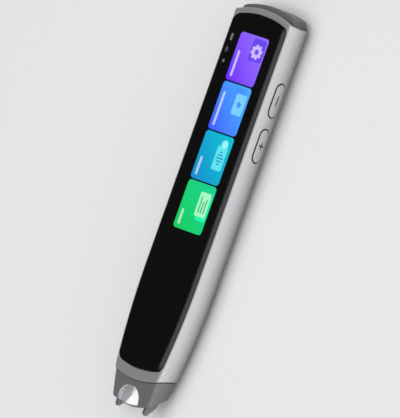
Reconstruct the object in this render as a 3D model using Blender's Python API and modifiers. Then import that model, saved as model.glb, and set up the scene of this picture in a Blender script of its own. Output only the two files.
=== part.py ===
"""Scanning pen: a flat metal pen body with a long screen, two side keys and a sprung scanning tip.

The pen lies on its back. +Y points to the cap, -Y to the scanning tip, +X to the side with the
two keys and +Z out of the screen. The origin is on the back, halfway along the pen. Metres.
"""

import math

import bmesh
import bpy
from mathutils import Matrix, Vector

# Whole pen
OVERALL_LENGTH = 0.1506
BODY_WIDTH = 0.0286
BODY_THICKNESS = 0.013
GAP = 0.0003
THIN_GAP = 0.0002
OVERRUN = 0.002
WELD = 0.000001

# How the length divides: cap, metal sleeve, nose and feet
CAP_RISE = 0.002
NOSE_LENGTH = 0.0094
FOOT_REACH = 0.0015
TOP_Y = OVERALL_LENGTH / 2
SLEEVE_TOP = TOP_Y - CAP_RISE
FEET_END = TOP_Y - OVERALL_LENGTH
NOSE_END = FEET_END + FOOT_REACH
SLEEVE_END = NOSE_END + NOSE_LENGTH

# Sleeve section and plan
WALL = 0.0009
BACK_RADIUS = 0.005
SIDE_RADIUS = 0.009
SIDE_TURN = math.radians(30)
FRONT_RADIUS = 0.0015
TOP_ARC = 0.0375
END_ARC = 0.033
END_SLANT_SHARE = 0.2
TAPER_LENGTH = 0.04885
NOSE_HALF_WIDTH = 0.00945
TAPER_START = NOSE_END + TAPER_LENGTH
TAPER_DROP = BODY_WIDTH / 2 - NOSE_HALF_WIDTH
TAPER_ARC = (TAPER_LENGTH ** 2 + TAPER_DROP ** 2) / (2 * TAPER_DROP)
END_HALF_WIDTH = BODY_WIDTH / 2 - TAPER_ARC + math.sqrt(TAPER_ARC ** 2 - (TAPER_START - SLEEVE_END) ** 2)
END_SAGITTA = END_ARC - math.sqrt(END_ARC ** 2 - END_HALF_WIDTH ** 2)

# Cover glass and what it lies on
GLASS_THICKNESS = 0.001
GLASS_PROUD = 0.0002
GLASS_INSET = 0.0017
GLASS_TOP_MARGIN = 0.0021
GLASS_END_MARGIN = 0.0042
GLASS_END_ARC = 0.034
GLASS_TOP_CORNER = 0.0018
GLASS_END_CORNER = 0.003
GLASS_EDGE_WIDTH = 0.0017
GLASS_EDGE_DROP = 0.00035
GASKET_THICKNESS = 0.0003
GASKET_WIDTH = 0.00055
LEDGE = 0.0008
GLASS_TOP = BODY_THICKNESS + GLASS_PROUD
GLASS_UNDERSIDE = GLASS_TOP - GLASS_THICKNESS
GASKET_TOP = GLASS_UNDERSIDE - THIN_GAP
POCKET_FLOOR = GASKET_TOP - GASKET_THICKNESS - THIN_GAP
CAVITY_TOP = POCKET_FLOOR - LEDGE
CAVITY_FRONT_RADIUS = FRONT_RADIUS - WALL

# Display
DISPLAY_TOP_MARGIN = 0.0072
DISPLAY_END_MARGIN = 0.0535
DISPLAY_SIDE_MARGIN = 0.0012
DISPLAY_CORNER = 0.001
DISPLAY_THICKNESS = 0.0013
TRAY_THICKNESS = 0.0004
TRAY_INSET = 0.0006
DISPLAY_LENGTH = SLEEVE_TOP - DISPLAY_TOP_MARGIN - SLEEVE_END - DISPLAY_END_MARGIN
DISPLAY_HALF_WIDTH = BODY_WIDTH / 2 - GLASS_INSET - DISPLAY_SIDE_MARGIN
DISPLAY_Y = SLEEVE_TOP - DISPLAY_TOP_MARGIN - DISPLAY_LENGTH / 2
DISPLAY_TOP = GLASS_UNDERSIDE - THIN_GAP
DISPLAY_UNDERSIDE = DISPLAY_TOP - DISPLAY_THICKNESS
TRAY_TOP = DISPLAY_UNDERSIDE - GAP
TRAY_UNDERSIDE = TRAY_TOP - TRAY_THICKNESS

# Cap
CAP_PLUG = 0.0045
CAP_CORNER = 0.0022
CAP_TIP_ARC = TOP_ARC + CAP_RISE
CAP_FOOT = SLEEVE_TOP - CAP_RISE - CAP_PLUG

# Side keys
KEY_LENGTH = 0.0123
KEY_WIDTH = 0.0048
KEY_PITCH = 0.0168
KEY_Z = 0.0072
KEY_TOP_MARGIN = 0.029
KEY_PROUD = 0.0002
KEY_CLEARANCE = 0.00025
KEY_EDGE = 0.00025
KEY_FLANGE_DEPTH = 0.0009
KEY_FLANGE = 0.0006
KEY_FLANGE_RIM = 0.0007
KEY_NUB_RADIUS = 0.0008
KEY_NUB = 0.0004
KEY_YS = {"minus": SLEEVE_TOP - KEY_TOP_MARGIN, "plus": SLEEVE_TOP - KEY_TOP_MARGIN - KEY_PITCH}
KEY_FACE = BODY_WIDTH / 2 + KEY_PROUD
KEY_FLANGE_TOP = BODY_WIDTH / 2 - WALL - KEY_FLANGE_DEPTH
KEY_FLANGE_FOOT = KEY_FLANGE_TOP - KEY_FLANGE
KEY_NUB_TIP = KEY_FLANGE_FOOT - KEY_NUB

# Switches behind the keys
PLUNGER_RADIUS = 0.0007
PLUNGER_REACH = 0.0004
SWITCH_DEPTH = 0.0012
SWITCH_SIZE = 0.003
SWITCH_CLEARANCE = 0.0002
PLUNGER_LENGTH = 0.0011
KEY_BOARD_THICKNESS = 0.0006
KEY_BOARD_MARGIN = 0.0004
KEY_BOARD_HALF_HEIGHT = 0.0023
PLUNGER_TIP = KEY_NUB_TIP - GAP
SWITCH_FACE = PLUNGER_TIP - PLUNGER_REACH
SWITCH_BACK = SWITCH_FACE - SWITCH_DEPTH
KEY_BOARD_FACE = SWITCH_BACK - GAP
KEY_BOARD_BACK = KEY_BOARD_FACE - KEY_BOARD_THICKNESS
KEY_BOARD_TOP_Y = KEY_YS["minus"] + KEY_LENGTH / 2 + KEY_FLANGE_RIM + KEY_BOARD_MARGIN
KEY_BOARD_END_Y = KEY_YS["plus"] - KEY_LENGTH / 2 - KEY_FLANGE_RIM - KEY_BOARD_MARGIN

# Speaker behind its grille
GRILLE_TOP_MARGIN = 0.0136
GRILLE_HOLE_RADIUS = 0.00047
GRILLE_RING_STEP = 0.00187
GRILLE_RING_COUNTS = (1, 8, 16)
SPEAKER_LENGTH = 0.011
SPEAKER_HALF_WIDTH = 0.0075
SPEAKER_CORNER = 0.0012
SPEAKER_THICKNESS = 0.0035
SPEAKER_GASKET = 0.0004
SPEAKER_GASKET_WIDTH = 0.0012
GRILLE_Y = SLEEVE_TOP - GRILLE_TOP_MARGIN
SPEAKER_BACK = WALL + GAP + SPEAKER_GASKET + GAP
SPEAKER_FRONT = SPEAKER_BACK + SPEAKER_THICKNESS

# Chassis, board and battery, one above the other from the back
CHASSIS_THICKNESS = 0.0009
CHASSIS_END_MARGIN = 0.0229
END_WALL = 0.001
RAIL_THICKNESS = 0.0006
BOARD_THICKNESS = 0.0008
BOARD_MARGIN = 0.0009
SHIELD_HEIGHT = 0.0013
SHIELD_LENGTH = 0.022
SHIELD_SIDE_MARGIN = 0.0016
SHIELD_END_DISTANCE = 0.0375
SHIELD_CORNER = 0.0008
BATTERY_TOP_MARGIN = 0.002
BATTERY_END_MARGIN = 0.0297
BATTERY_SIDE_MARGIN = 0.0015
BATTERY_CORNER = 0.0012
CHASSIS_TOP_Y = CAP_FOOT - GAP
CHASSIS_END_Y = SLEEVE_END + CHASSIS_END_MARGIN
CHASSIS_BACK = SPEAKER_FRONT + GAP
CHASSIS_FRONT = CHASSIS_BACK + CHASSIS_THICKNESS
BOARD_BACK = CHASSIS_FRONT + GAP
BOARD_FRONT = BOARD_BACK + BOARD_THICKNESS
RAIL_FACE = KEY_BOARD_BACK - GAP
RAIL_BACK = RAIL_FACE - RAIL_THICKNESS
BOARD_RIGHT = RAIL_BACK - GAP
SHIELD_HALF_WIDTH = BOARD_RIGHT - SHIELD_SIDE_MARGIN
SHIELD_Y = CHASSIS_END_Y + SHIELD_END_DISTANCE
BATTERY_HALF_WIDTH = SWITCH_BACK - BATTERY_SIDE_MARGIN
BATTERY_TOP_Y = GRILLE_Y - SPEAKER_LENGTH / 2 - BATTERY_TOP_MARGIN
BATTERY_END_Y = CHASSIS_END_Y + BATTERY_END_MARGIN

# Screws of the board
SCREW_HEAD_RADIUS = 0.0012
SCREW_CROWN_RADIUS = 0.0009
SCREW_HEAD = 0.0006
SCREW_HEAD_EDGE = 0.00035
SCREW_SHANK_RADIUS = 0.0006
SCREW_HOLE_RADIUS = 0.0009
SCREW_EDGE_DISTANCE = 0.0022
SCREW_LEFT = SCREW_EDGE_DISTANCE - BODY_WIDTH / 2 + WALL
SCREW_RIGHT = BOARD_RIGHT - SCREW_EDGE_DISTANCE

# Charging socket and microphone
SOCKET_HALF_WIDTH = 0.0045
SOCKET_HEIGHT = 0.0032
SOCKET_CORNER = 0.0013
SOCKET_LENGTH = 0.0072
SOCKET_SHELL = 0.0003
SOCKET_DEPTH = 0.0056
SOCKET_TONGUE_HALF_WIDTH = 0.0034
SOCKET_TONGUE = 0.0007
SOCKET_TONGUE_LENGTH = 0.0046
SOCKET_Z = (BOARD_BACK + BOARD_FRONT) / 2
SOCKET_FOOT = CHASSIS_TOP_Y + GAP
MICROPHONE_SIZE = 0.003
MICROPHONE_HEIGHT = 0.001
MICROPHONE_X = -SOCKET_HALF_WIDTH - MICROPHONE_SIZE / 2 - GAP
MICROPHONE_PORT_RADIUS = 0.0005

# Nose shell
NOSE_INSET = 0.00045
NOSE_BACK_INSET = 0.0009
NOSE_FRONT_INSET = 0.0007
NOSE_LEAN = 0.0013
NOSE_LEAN_SHARE = NOSE_LEAN / NOSE_LENGTH
NOSE_FRONT_RADIUS = 0.0012
NOSE_WALL = 0.0009
NOSE_RIM_ARC = 0.024
NOSE_SLANT_SHARE = 0.55
SPIGOT_LENGTH = 0.0056
SPIGOT_FRONT = CAVITY_TOP - GAP
NOSE_FRONT = BODY_THICKNESS - NOSE_FRONT_INSET
NOSE_LIP_FRONT = NOSE_FRONT - NOSE_LEAN
SPIGOT_TOP = SLEEVE_END + END_SAGITTA + SPIGOT_LENGTH
NOSE_BACK_ARCH_SIDE = 0.0022
NOSE_BACK_ARCH_RADIUS = 0.0035
NOSE_BACK_ARCH_DROP = 0.0024

# Clear pane in the nose's front arch
ARCH_WIDTH = 0.0102
ARCH_OFFSET = 0.0014
ARCH_DROP = 0.0021
ARCH_SILL = 0.00045
PANE_THICKNESS = 0.0006

# Fork that carries the two feet
FORK_TRAVEL = 0.001
FOOT_CLEARANCE = 0.00025
FOOT_THICKNESS = 0.0021
FOOT_FRONT = 0.01
FOOT_DEPTH = 0.0052
FOOT_LENGTH = 0.0074
FOOT_ROUND = 0.0007
ARM_DEPTH = 0.0026
ARM_INSET = 0.0001
CROSSBAR_LENGTH = 0.0025
CROSSBAR_BACK = 0.0016
CROSSBAR_DEPTH = 0.0026
CROSSBAR_DISTANCE = 0.0085
PAD_OVERHANG = 0.0004
END_WALL_SIDE = 0.00085
CROSSBAR_TOP_Y = CHASSIS_END_Y - CROSSBAR_DISTANCE
FOOT_OUTER = NOSE_HALF_WIDTH - NOSE_INSET - NOSE_WALL - FOOT_CLEARANCE
FOOT_INNER = FOOT_OUTER - FOOT_THICKNESS
END_WALL_HALF_WIDTH = FOOT_OUTER + END_WALL_SIDE
FOOT_BACK = FOOT_FRONT - FOOT_DEPTH
FOOT_OUTLINE_SHARES = (
    (1.0, 0.0),
    (0.10, 0.0),
    (0.0, 0.10),
    (0.0, 0.24),
    (0.42, 0.78),
    (0.80, 1.0),
    (1.0, 1.0),
)

# Tip switch and return springs
TIP_SWITCH_LENGTH = 0.0024
TIP_SWITCH_HALF_WIDTH = 0.0022
TIP_PLUNGER_RADIUS = 0.0007
TIP_PLUNGER_LENGTH = 0.0024
TIP_PLUNGER_GRIP = 0.0008
TIP_SWITCH_Z = CROSSBAR_BACK + CROSSBAR_DEPTH / 2
TIP_SWITCH_TOP_Y = CHASSIS_END_Y - GAP
TIP_SWITCH_END_Y = TIP_SWITCH_TOP_Y - TIP_SWITCH_LENGTH
TIP_BORE_TOP_Y = TIP_SWITCH_END_Y + TIP_PLUNGER_GRIP + FORK_TRAVEL + GAP
TIP_PLUNGER_TOP_Y = TIP_SWITCH_END_Y + TIP_PLUNGER_GRIP
TIP_PLUNGER_END_Y = TIP_PLUNGER_TOP_Y - TIP_PLUNGER_LENGTH
SPRING_RADIUS = 0.00095
SPRING_WIRE_RADIUS = 0.00015
SPRING_TURNS = 7
SPRING_POINTS_PER_TURN = 9
SPRING_X = (FOOT_INNER + FOOT_OUTER) / 2
SPRING_Z = FOOT_BACK + ARM_DEPTH / 2

# Camera and lamps that look out between the feet
CAMERA_SIDE_MARGIN = 0.00155
CAMERA_BACK = 0.0046
CAMERA_FRONT = 0.0098
CAMERA_BOARD_THICKNESS = 0.0008
CAMERA_BLOCK_LENGTH = 0.0068
BARREL_RADIUS = 0.002
BARREL_BORE_RADIUS = 0.0015
BARREL_BORE_DEPTH = 0.0022
BARREL_LENGTH = 0.0053
LENS_RADIUS = 0.0012
LENS_THICKNESS = 0.0016
LENS_BULGE = 0.0005
CAMERA_HALF_WIDTH = FOOT_INNER - CAMERA_SIDE_MARGIN
CAMERA_Z = (CAMERA_BACK + CAMERA_FRONT) / 2
CAMERA_BOARD_TOP_Y = CHASSIS_END_Y - GAP
CAMERA_BOARD_END_Y = CAMERA_BOARD_TOP_Y - CAMERA_BOARD_THICKNESS
CAMERA_TOP_Y = CAMERA_BOARD_END_Y - GAP
BARREL_TOP_Y = CAMERA_TOP_Y - CAMERA_BLOCK_LENGTH
BARREL_END_Y = BARREL_TOP_Y - BARREL_LENGTH
LAMP_BOARD_THICKNESS = 0.0006
LAMP_BOARD_SIDE_MARGIN = 0.00035
LAMP_BOARD_SETBACK = 0.0018
LAMP_SIZE = 0.0014
LAMP_HEIGHT = 0.0008
LAMP_BOARD_END_Y = BARREL_END_Y + LAMP_BOARD_SETBACK
DIFFUSER_THICKNESS = 0.0008
DIFFUSER_BORE_RADIUS = 0.0026
LAMP_X = (BARREL_RADIUS + FOOT_INNER) / 2
LAMP_BOARD_HALF_WIDTH = FOOT_INNER - LAMP_BOARD_SIDE_MARGIN
DIFFUSER_HALF_WIDTH = FOOT_INNER - GAP
DIFFUSER_TOP_Y = BARREL_END_Y - GAP

# Facets
CORNER_STEPS = 6
SIDE_STEPS = 3
GLASS_EDGE_STEPS = 4
FRONT_STEPS = 3
ARC_STEPS = 12
TAPER_STEPS = 9
HOLE_SIDES = 12
ROUND_SIDES = 24

# Outlines drawn in U and V, then laid in Y and Z, in Z and X, or in the nose's leaning front face
ALONG_X = Matrix(((0, 0, 1, 0), (1, 0, 0, 0), (0, 1, 0, 0), (0, 0, 0, 1)))
ALONG_Y = Matrix(((0, 1, 0, 0), (0, 0, 1, 0), (1, 0, 0, 0), (0, 0, 0, 1)))
LEANING = Matrix(
    ((1, 0, 0, 0), (0, 1, 0, 0), (0, NOSE_LEAN_SHARE, 1, -NOSE_LEAN_SHARE * NOSE_END), (0, 0, 0, 1))
)

for old in list(bpy.data.objects):
    bpy.data.objects.remove(old, do_unlink=True)

PEN = bpy.data.collections.new("scanning_pen")
CUTTERS = bpy.data.collections.new("cutters")
bpy.context.scene.collection.children.link(PEN)
bpy.context.scene.collection.children.link(CUTTERS)
BODY_EMPTY = bpy.data.objects.new("pen_body", None)
PEN.objects.link(BODY_EMPTY)


def add_object(name, mesh, location=(0, 0, 0)):
    """Object in the pen's collection, carried by the pen's empty."""
    obj = bpy.data.objects.new(name, mesh)
    obj.location = location
    obj.parent = BODY_EMPTY
    PEN.objects.link(obj)
    return obj


def from_bmesh(name, shape, location=None):
    """Object made of a bmesh, faces outwards; without a place, its origin goes to its middle."""
    bmesh.ops.recalc_face_normals(shape, faces=shape.faces)
    if location is None:
        spans = [[vertex.co[axis] for vertex in shape.verts] for axis in range(3)]
        location = Vector([(min(span) + max(span)) / 2 for span in spans])
        bmesh.ops.translate(shape, vec=-location, verts=shape.verts)
    mesh = bpy.data.meshes.new(name)
    shape.to_mesh(mesh)
    shape.free()
    return add_object(name, mesh, location)


def box(name, low, high):
    """Cuboid between two opposite corners, with its origin at its centre."""
    low = Vector(low)
    high = Vector(high)
    shape = bmesh.new()
    bmesh.ops.create_cube(shape, size=1.0)
    bmesh.ops.scale(shape, vec=high - low, verts=shape.verts)
    return from_bmesh(name, shape, (low + high) / 2)


def cylinder(name, radius, start, end, sides=ROUND_SIDES, end_radius=None):
    """Round bar from one point to another, with its origin halfway."""
    start = Vector(start)
    end = Vector(end)
    shape = bmesh.new()
    bmesh.ops.create_cone(
        shape,
        cap_ends=True,
        segments=sides,
        radius1=radius,
        radius2=radius if end_radius is None else end_radius,
        depth=(end - start).length,
    )
    obj = from_bmesh(name, shape, (start + end) / 2)
    obj.rotation_euler = (end - start).to_track_quat("Z", "Y").to_euler()
    return obj


def plate(name, outlines, low, high, lay=None):
    """Flat outlines filled from low to high; an outline inside another is a hole."""
    curve = bpy.data.curves.new(name, "CURVE")
    curve.dimensions = "2D"
    curve.fill_mode = "BOTH"
    curve.extrude = (high - low) / 2
    for outline in outlines:
        spline = curve.splines.new("POLY")
        spline.points.add(len(outline) - 1)
        for point, (u, v) in zip(spline.points, outline):
            point.co = (u, v, 0, 1)
        spline.use_cyclic_u = True
    drawn = bpy.data.objects.new(name + "_outline", curve)
    PEN.objects.link(drawn)
    bpy.context.view_layer.update()
    mesh = bpy.data.meshes.new_from_object(drawn.evaluated_get(bpy.context.evaluated_depsgraph_get()))
    bpy.data.objects.remove(drawn)
    shape = bmesh.new()
    shape.from_mesh(mesh)
    bpy.data.meshes.remove(mesh)
    bmesh.ops.remove_doubles(shape, verts=shape.verts, dist=WELD)
    bmesh.ops.translate(shape, vec=(0, 0, (low + high) / 2), verts=shape.verts)
    if lay is not None:
        bmesh.ops.transform(shape, matrix=lay, verts=shape.verts)
    return from_bmesh(name, shape)


def loft(name, rings):
    """Closed body through rings of points, which all have as many points."""
    shape = bmesh.new()
    loops = [[shape.verts.new(point) for point in ring] for ring in rings]
    for ring, following in zip(loops, loops[1:]):
        for index, vertex in enumerate(ring):
            other = (index + 1) % len(ring)
            shape.faces.new((vertex, ring[other], following[other], following[index]))
    shape.faces.new(loops[0])
    shape.faces.new(loops[-1])
    return from_bmesh(name, shape)


def as_cutter(obj):
    """Move an object to the cutters, where it only shapes others."""
    PEN.objects.unlink(obj)
    CUTTERS.objects.link(obj)
    obj.hide_render = True
    obj.display_type = "WIRE"
    return obj


def combine(target, tool, operation="DIFFERENCE"):
    """Shape one object by another."""
    as_cutter(tool)
    boolean = target.modifiers.new(tool.name, "BOOLEAN")
    boolean.operation = operation
    boolean.solver = "EXACT"
    boolean.object = tool
    return target


def bevel(obj, width, segments=2, angle=math.radians(50)):
    """Round the edges that are sharper than an angle."""
    modifier = obj.modifiers.new("edges", "BEVEL")
    modifier.width = width
    modifier.segments = segments
    modifier.limit_method = "ANGLE"
    modifier.angle_limit = angle
    return obj


def turned(name, profile, place, steps):
    """Round piece turned from half its profile, given as radius and height above its place."""
    mesh = bpy.data.meshes.new(name)
    edges = [(index, index + 1) for index in range(len(profile) - 1)]
    mesh.from_pydata([(radius, 0, height) for radius, height in profile], edges, [])
    obj = add_object(name, mesh, place)
    turn = obj.modifiers.new("turn", "SCREW")
    turn.steps = steps
    turn.render_steps = steps
    turn.use_merge_vertices = True
    turn.merge_threshold = WELD
    return obj


def finish(obj, colour, roughness, metallic=0.0, alpha=1.0):
    """Give an object its own material and smooth its rounds."""
    material = bpy.data.materials.new(obj.name)
    material.use_nodes = True
    shader = material.node_tree.nodes["Principled BSDF"]
    shader.inputs["Base Color"].default_value = (*colour, 1.0)
    shader.inputs["Roughness"].default_value = roughness
    shader.inputs["Metallic"].default_value = metallic
    shader.inputs["Alpha"].default_value = alpha
    obj.data.materials.clear()
    obj.data.materials.append(material)
    if obj.type == "MESH":
        obj.data.shade_smooth()
        obj.data.set_sharp_from_angle(angle=math.radians(35))
    return obj


def rounded(points, radius, steps=CORNER_STEPS):
    """Outline with each corner of a polygon rounded; radius is one value or one a corner."""
    radii = radius if isinstance(radius, (list, tuple)) else [radius] * len(points)
    outline = []
    for index, (point, size) in enumerate(zip(points, radii)):
        corner = Vector(point)
        back = (Vector(points[index - 1]) - corner).normalized()
        ahead = (Vector(points[(index + 1) % len(points)]) - corner).normalized()
        half_angle = back.angle(ahead) / 2
        centre = corner + (back + ahead).normalized() * (size / math.sin(half_angle))
        start = corner + back * (size / math.tan(half_angle)) - centre
        end = corner + ahead * (size / math.tan(half_angle)) - centre
        turn = start.angle_signed(end) if size > 0 else 0
        for step in range(steps + 1 if size > 0 else 1):
            spoke = start.copy()
            spoke.rotate(Matrix.Rotation(-turn * step / steps, 2))
            place = centre + spoke
            if not outline or (place - outline[-1]).length > WELD:
                outline.append(place)
    if (outline[0] - outline[-1]).length < WELD:
        outline.pop()
    return [tuple(place) for place in outline]


def rectangle(left, right, low, high):
    """Corners of an upright rectangle."""
    return [(left, low), (right, low), (right, high), (left, high)]


def half_width(y):
    """Half the body's width: full above the taper, then drawn in along a large arc."""
    below = max(TAPER_START - y, 0)
    return BODY_WIDTH / 2 - TAPER_ARC + math.sqrt(TAPER_ARC ** 2 - below ** 2)


def stations(top, end):
    """Heights that follow the taper between two ends."""
    middle = [TAPER_START - TAPER_LENGTH * step / TAPER_STEPS for step in range(TAPER_STEPS + 1)]
    return [top] + [y for y in middle if end + WALL < y < top - WALL] + [end]


def section(half, low, high, inset, front_radius, y):
    """Cross-section of the body at one height: softly round sides, a flat back and a flat front."""
    back = BACK_RADIUS - inset
    side = SIDE_RADIUS - inset
    back_x = half - side + (side - back) * math.cos(SIDE_TURN)
    side_z = low + back + (side - back) * math.sin(SIDE_TURN)
    right = []
    for centre_x, centre_z, radius, start, end, steps in (
        (back_x, low + back, back, -math.pi / 2, -SIDE_TURN, CORNER_STEPS),
        (half - side, side_z, side, -SIDE_TURN, 0, SIDE_STEPS),
        (half - front_radius, high - front_radius, front_radius, 0, math.pi / 2, FRONT_STEPS),
    ):
        for step in range(steps + 1):
            angle = start + (end - start) * step / steps
            place = Vector((centre_x + radius * math.cos(angle), y, centre_z + radius * math.sin(angle)))
            if not right or (place - right[-1]).length > WELD:
                right.append(place)
    return [tuple(place) for place in right] + [(-x, y, z) for x, y, z in right[::-1]]


def corner_place(inset, arc_centre, reach, corner, direction):
    """Height at which a corner's round touches both the body's side and the end's arc."""
    near = 0
    far = reach
    for _ in range(48):
        middle = (near + far) / 2
        across = half_width(arc_centre + direction * middle) - inset - corner
        if math.hypot(across, middle) < reach - corner:
            near = middle
        else:
            far = middle
    return near


def end_outline(inset, apex, arc, corner, direction):
    """Right half of an end, from its apex on the centre line to the body's side."""
    arc_centre = apex - direction * arc
    rise = corner_place(inset, arc_centre, arc, corner, direction)
    centre_y = arc_centre + direction * rise
    across = half_width(centre_y) - inset - corner
    sweep = math.atan2(across, rise)
    points = []
    for step in range(ARC_STEPS // 2 + 1):
        angle = sweep * step / (ARC_STEPS // 2)
        points.append((arc * math.sin(angle), arc_centre + direction * arc * math.cos(angle)))
    if corner:
        for step in range(1, CORNER_STEPS + 1):
            angle = sweep + (math.pi / 2 - sweep) * step / CORNER_STEPS
            x = across + corner * math.sin(angle)
            points.append((x, centre_y + direction * corner * math.cos(angle)))
    return points


def arc_points(apex, arc, half, direction):
    """Points across an end arc from left to right."""
    points = []
    for step in range(ARC_STEPS + 1):
        x = half * (2 * step / ARC_STEPS - 1)
        points.append((x, apex - direction * (arc - math.sqrt(arc ** 2 - x ** 2))))
    return points


def sleeve_end(z):
    """Where the sleeve ends on the centre line: its end is cut at a slant, longest in front."""
    return SLEEVE_END + END_SLANT_SHARE * (BODY_THICKNESS - z)


def drawn_in(outline, margin):
    """Outline moved inwards point by point, so that it keeps its number of points."""
    moved = []
    for index, point in enumerate(outline):
        along = (Vector(outline[(index + 1) % len(outline)]) - Vector(outline[index - 1])).normalized()
        moved.append(tuple(Vector(point) + Vector((along.y, -along.x)) * margin))
    return moved


def plan_outline(inset, top, top_arc, top_corner, end, end_arc, end_corner):
    """Outline of the pen seen from the front, drawn in by an inset, with an arc at each end."""
    upper = end_outline(inset, top, top_arc, top_corner, 1)
    lower = end_outline(inset, end, end_arc, end_corner, -1)
    sides = stations(upper[-1][1], lower[-1][1])[1:-1]
    right = upper + [(half_width(y) - inset, y) for y in sides] + lower[::-1]
    left = [(-x, y) for x, y in right[::-1]]
    return right + left[1:-1]


def glass_outline(margin):
    """Outline of the cover glass, drawn in by a margin; a negative one draws it out."""
    return plan_outline(
        GLASS_INSET + margin,
        SLEEVE_TOP - GLASS_TOP_MARGIN - margin,
        TOP_ARC - margin,
        GLASS_TOP_CORNER - margin,
        SLEEVE_END + GLASS_END_MARGIN + margin,
        GLASS_END_ARC - margin,
        GLASS_END_CORNER - margin,
    )


def display_rectangle(margin):
    """Outline of the display, drawn out by a margin."""
    half = DISPLAY_HALF_WIDTH + margin
    reach = DISPLAY_LENGTH / 2 + margin
    return rounded(rectangle(-half, half, DISPLAY_Y - reach, DISPLAY_Y + reach), DISPLAY_CORNER)


def pill_outline(centre, length, width):
    """Outline with round ends that is long in U."""
    u, v = centre
    corners = rectangle(u - length / 2, u + length / 2, v - width / 2, v + width / 2)
    return rounded(corners, width / 2)


def key_outline(y, margin):
    """Outline of a side key in Y and Z, drawn out by a margin."""
    return pill_outline((y, KEY_Z), KEY_LENGTH + 2 * margin, KEY_WIDTH + 2 * margin)


def grille_holes():
    """Cylinders for the rings of holes in front of the speaker."""
    holes = bmesh.new()
    for ring, count in enumerate(GRILLE_RING_COUNTS):
        for index in range(count):
            angle = math.tau * index / count
            reach = GRILLE_RING_STEP * ring
            place = Matrix.Translation((reach * math.sin(angle), GRILLE_Y + reach * math.cos(angle), 0))
            bmesh.ops.create_cone(
                holes,
                cap_ends=True,
                segments=HOLE_SIDES,
                radius1=GRILLE_HOLE_RADIUS,
                radius2=GRILLE_HOLE_RADIUS,
                depth=2 * OVERRUN,
                matrix=place,
            )
    return from_bmesh("grille_holes", holes)


def make_sleeve():
    """Metal sleeve: a tapering tube with a pocket for the glass in front."""
    top = SLEEVE_TOP + OVERRUN
    end = SLEEVE_END - OVERRUN
    rings = [section(half_width(y), 0, BODY_THICKNESS, 0, FRONT_RADIUS, y) for y in stations(top, end)]
    sleeve = loft("body_sleeve", rings)
    wide = BODY_WIDTH / 2 + OVERRUN
    rings = []
    for z in (-OVERRUN, GLASS_TOP + OVERRUN):
        ends = arc_points(SLEEVE_TOP, TOP_ARC, wide, 1) + arc_points(sleeve_end(z), END_ARC, wide, -1)[::-1]
        rings.append([(x, y, z) for x, y in ends])
    combine(sleeve, loft("sleeve_extent", rings), "INTERSECT")
    rings = [
        section(half_width(y) - WALL, WALL, CAVITY_TOP, WALL, CAVITY_FRONT_RADIUS, y)
        for y in stations(top + OVERRUN, end - OVERRUN)
    ]
    combine(sleeve, loft("sleeve_hollow", rings))
    combine(sleeve, plate("glass_pocket", [glass_outline(-THIN_GAP)], POCKET_FLOOR, GLASS_TOP + OVERRUN))
    window = plate("display_window", [display_rectangle(GAP)], CAVITY_TOP - LEDGE, POCKET_FLOOR + LEDGE)
    combine(sleeve, window)
    for name, y in KEY_YS.items():
        outline = key_outline(y, KEY_CLEARANCE)
        combine(sleeve, plate(name + "_key_slot", [outline], RAIL_FACE, KEY_FACE + OVERRUN, ALONG_X))
    combine(sleeve, grille_holes())
    return finish(sleeve, (0.62, 0.63, 0.65), 0.32, 1.0)


def make_front():
    """Cover glass, its adhesive frame, the display and the tray under it."""
    outline = glass_outline(0)
    edge_radius = (GLASS_EDGE_WIDTH ** 2 + GLASS_EDGE_DROP ** 2) / (2 * GLASS_EDGE_DROP)
    edge_turn = math.asin(GLASS_EDGE_WIDTH / edge_radius)
    rings = [[(x, y, GLASS_UNDERSIDE) for x, y in outline]]
    for step in range(GLASS_EDGE_STEPS + 1):
        angle = edge_turn * (1 - step / GLASS_EDGE_STEPS)
        margin = GLASS_EDGE_WIDTH - edge_radius * math.sin(angle)
        height = GLASS_TOP - edge_radius * (1 - math.cos(angle))
        rings.append([(x, y, height) for x, y in drawn_in(outline, margin)])
    glass = loft("cover_glass", rings)
    finish(glass, (0.006, 0.006, 0.007), 0.08)
    frame = plate(
        "glass_gasket",
        [glass_outline(THIN_GAP), display_rectangle(GASKET_WIDTH / 2)],
        GASKET_TOP - GASKET_THICKNESS,
        GASKET_TOP,
    )
    finish(frame, (0.02, 0.02, 0.02), 0.8)
    panel = plate("display_panel", [display_rectangle(0)], DISPLAY_UNDERSIDE, DISPLAY_TOP)
    finish(panel, (0.05, 0.06, 0.09), 0.2)
    tray = plate("display_tray", [display_rectangle(-TRAY_INSET)], TRAY_UNDERSIDE, TRAY_TOP)
    finish(tray, (0.55, 0.56, 0.57), 0.4, 1.0)


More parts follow.
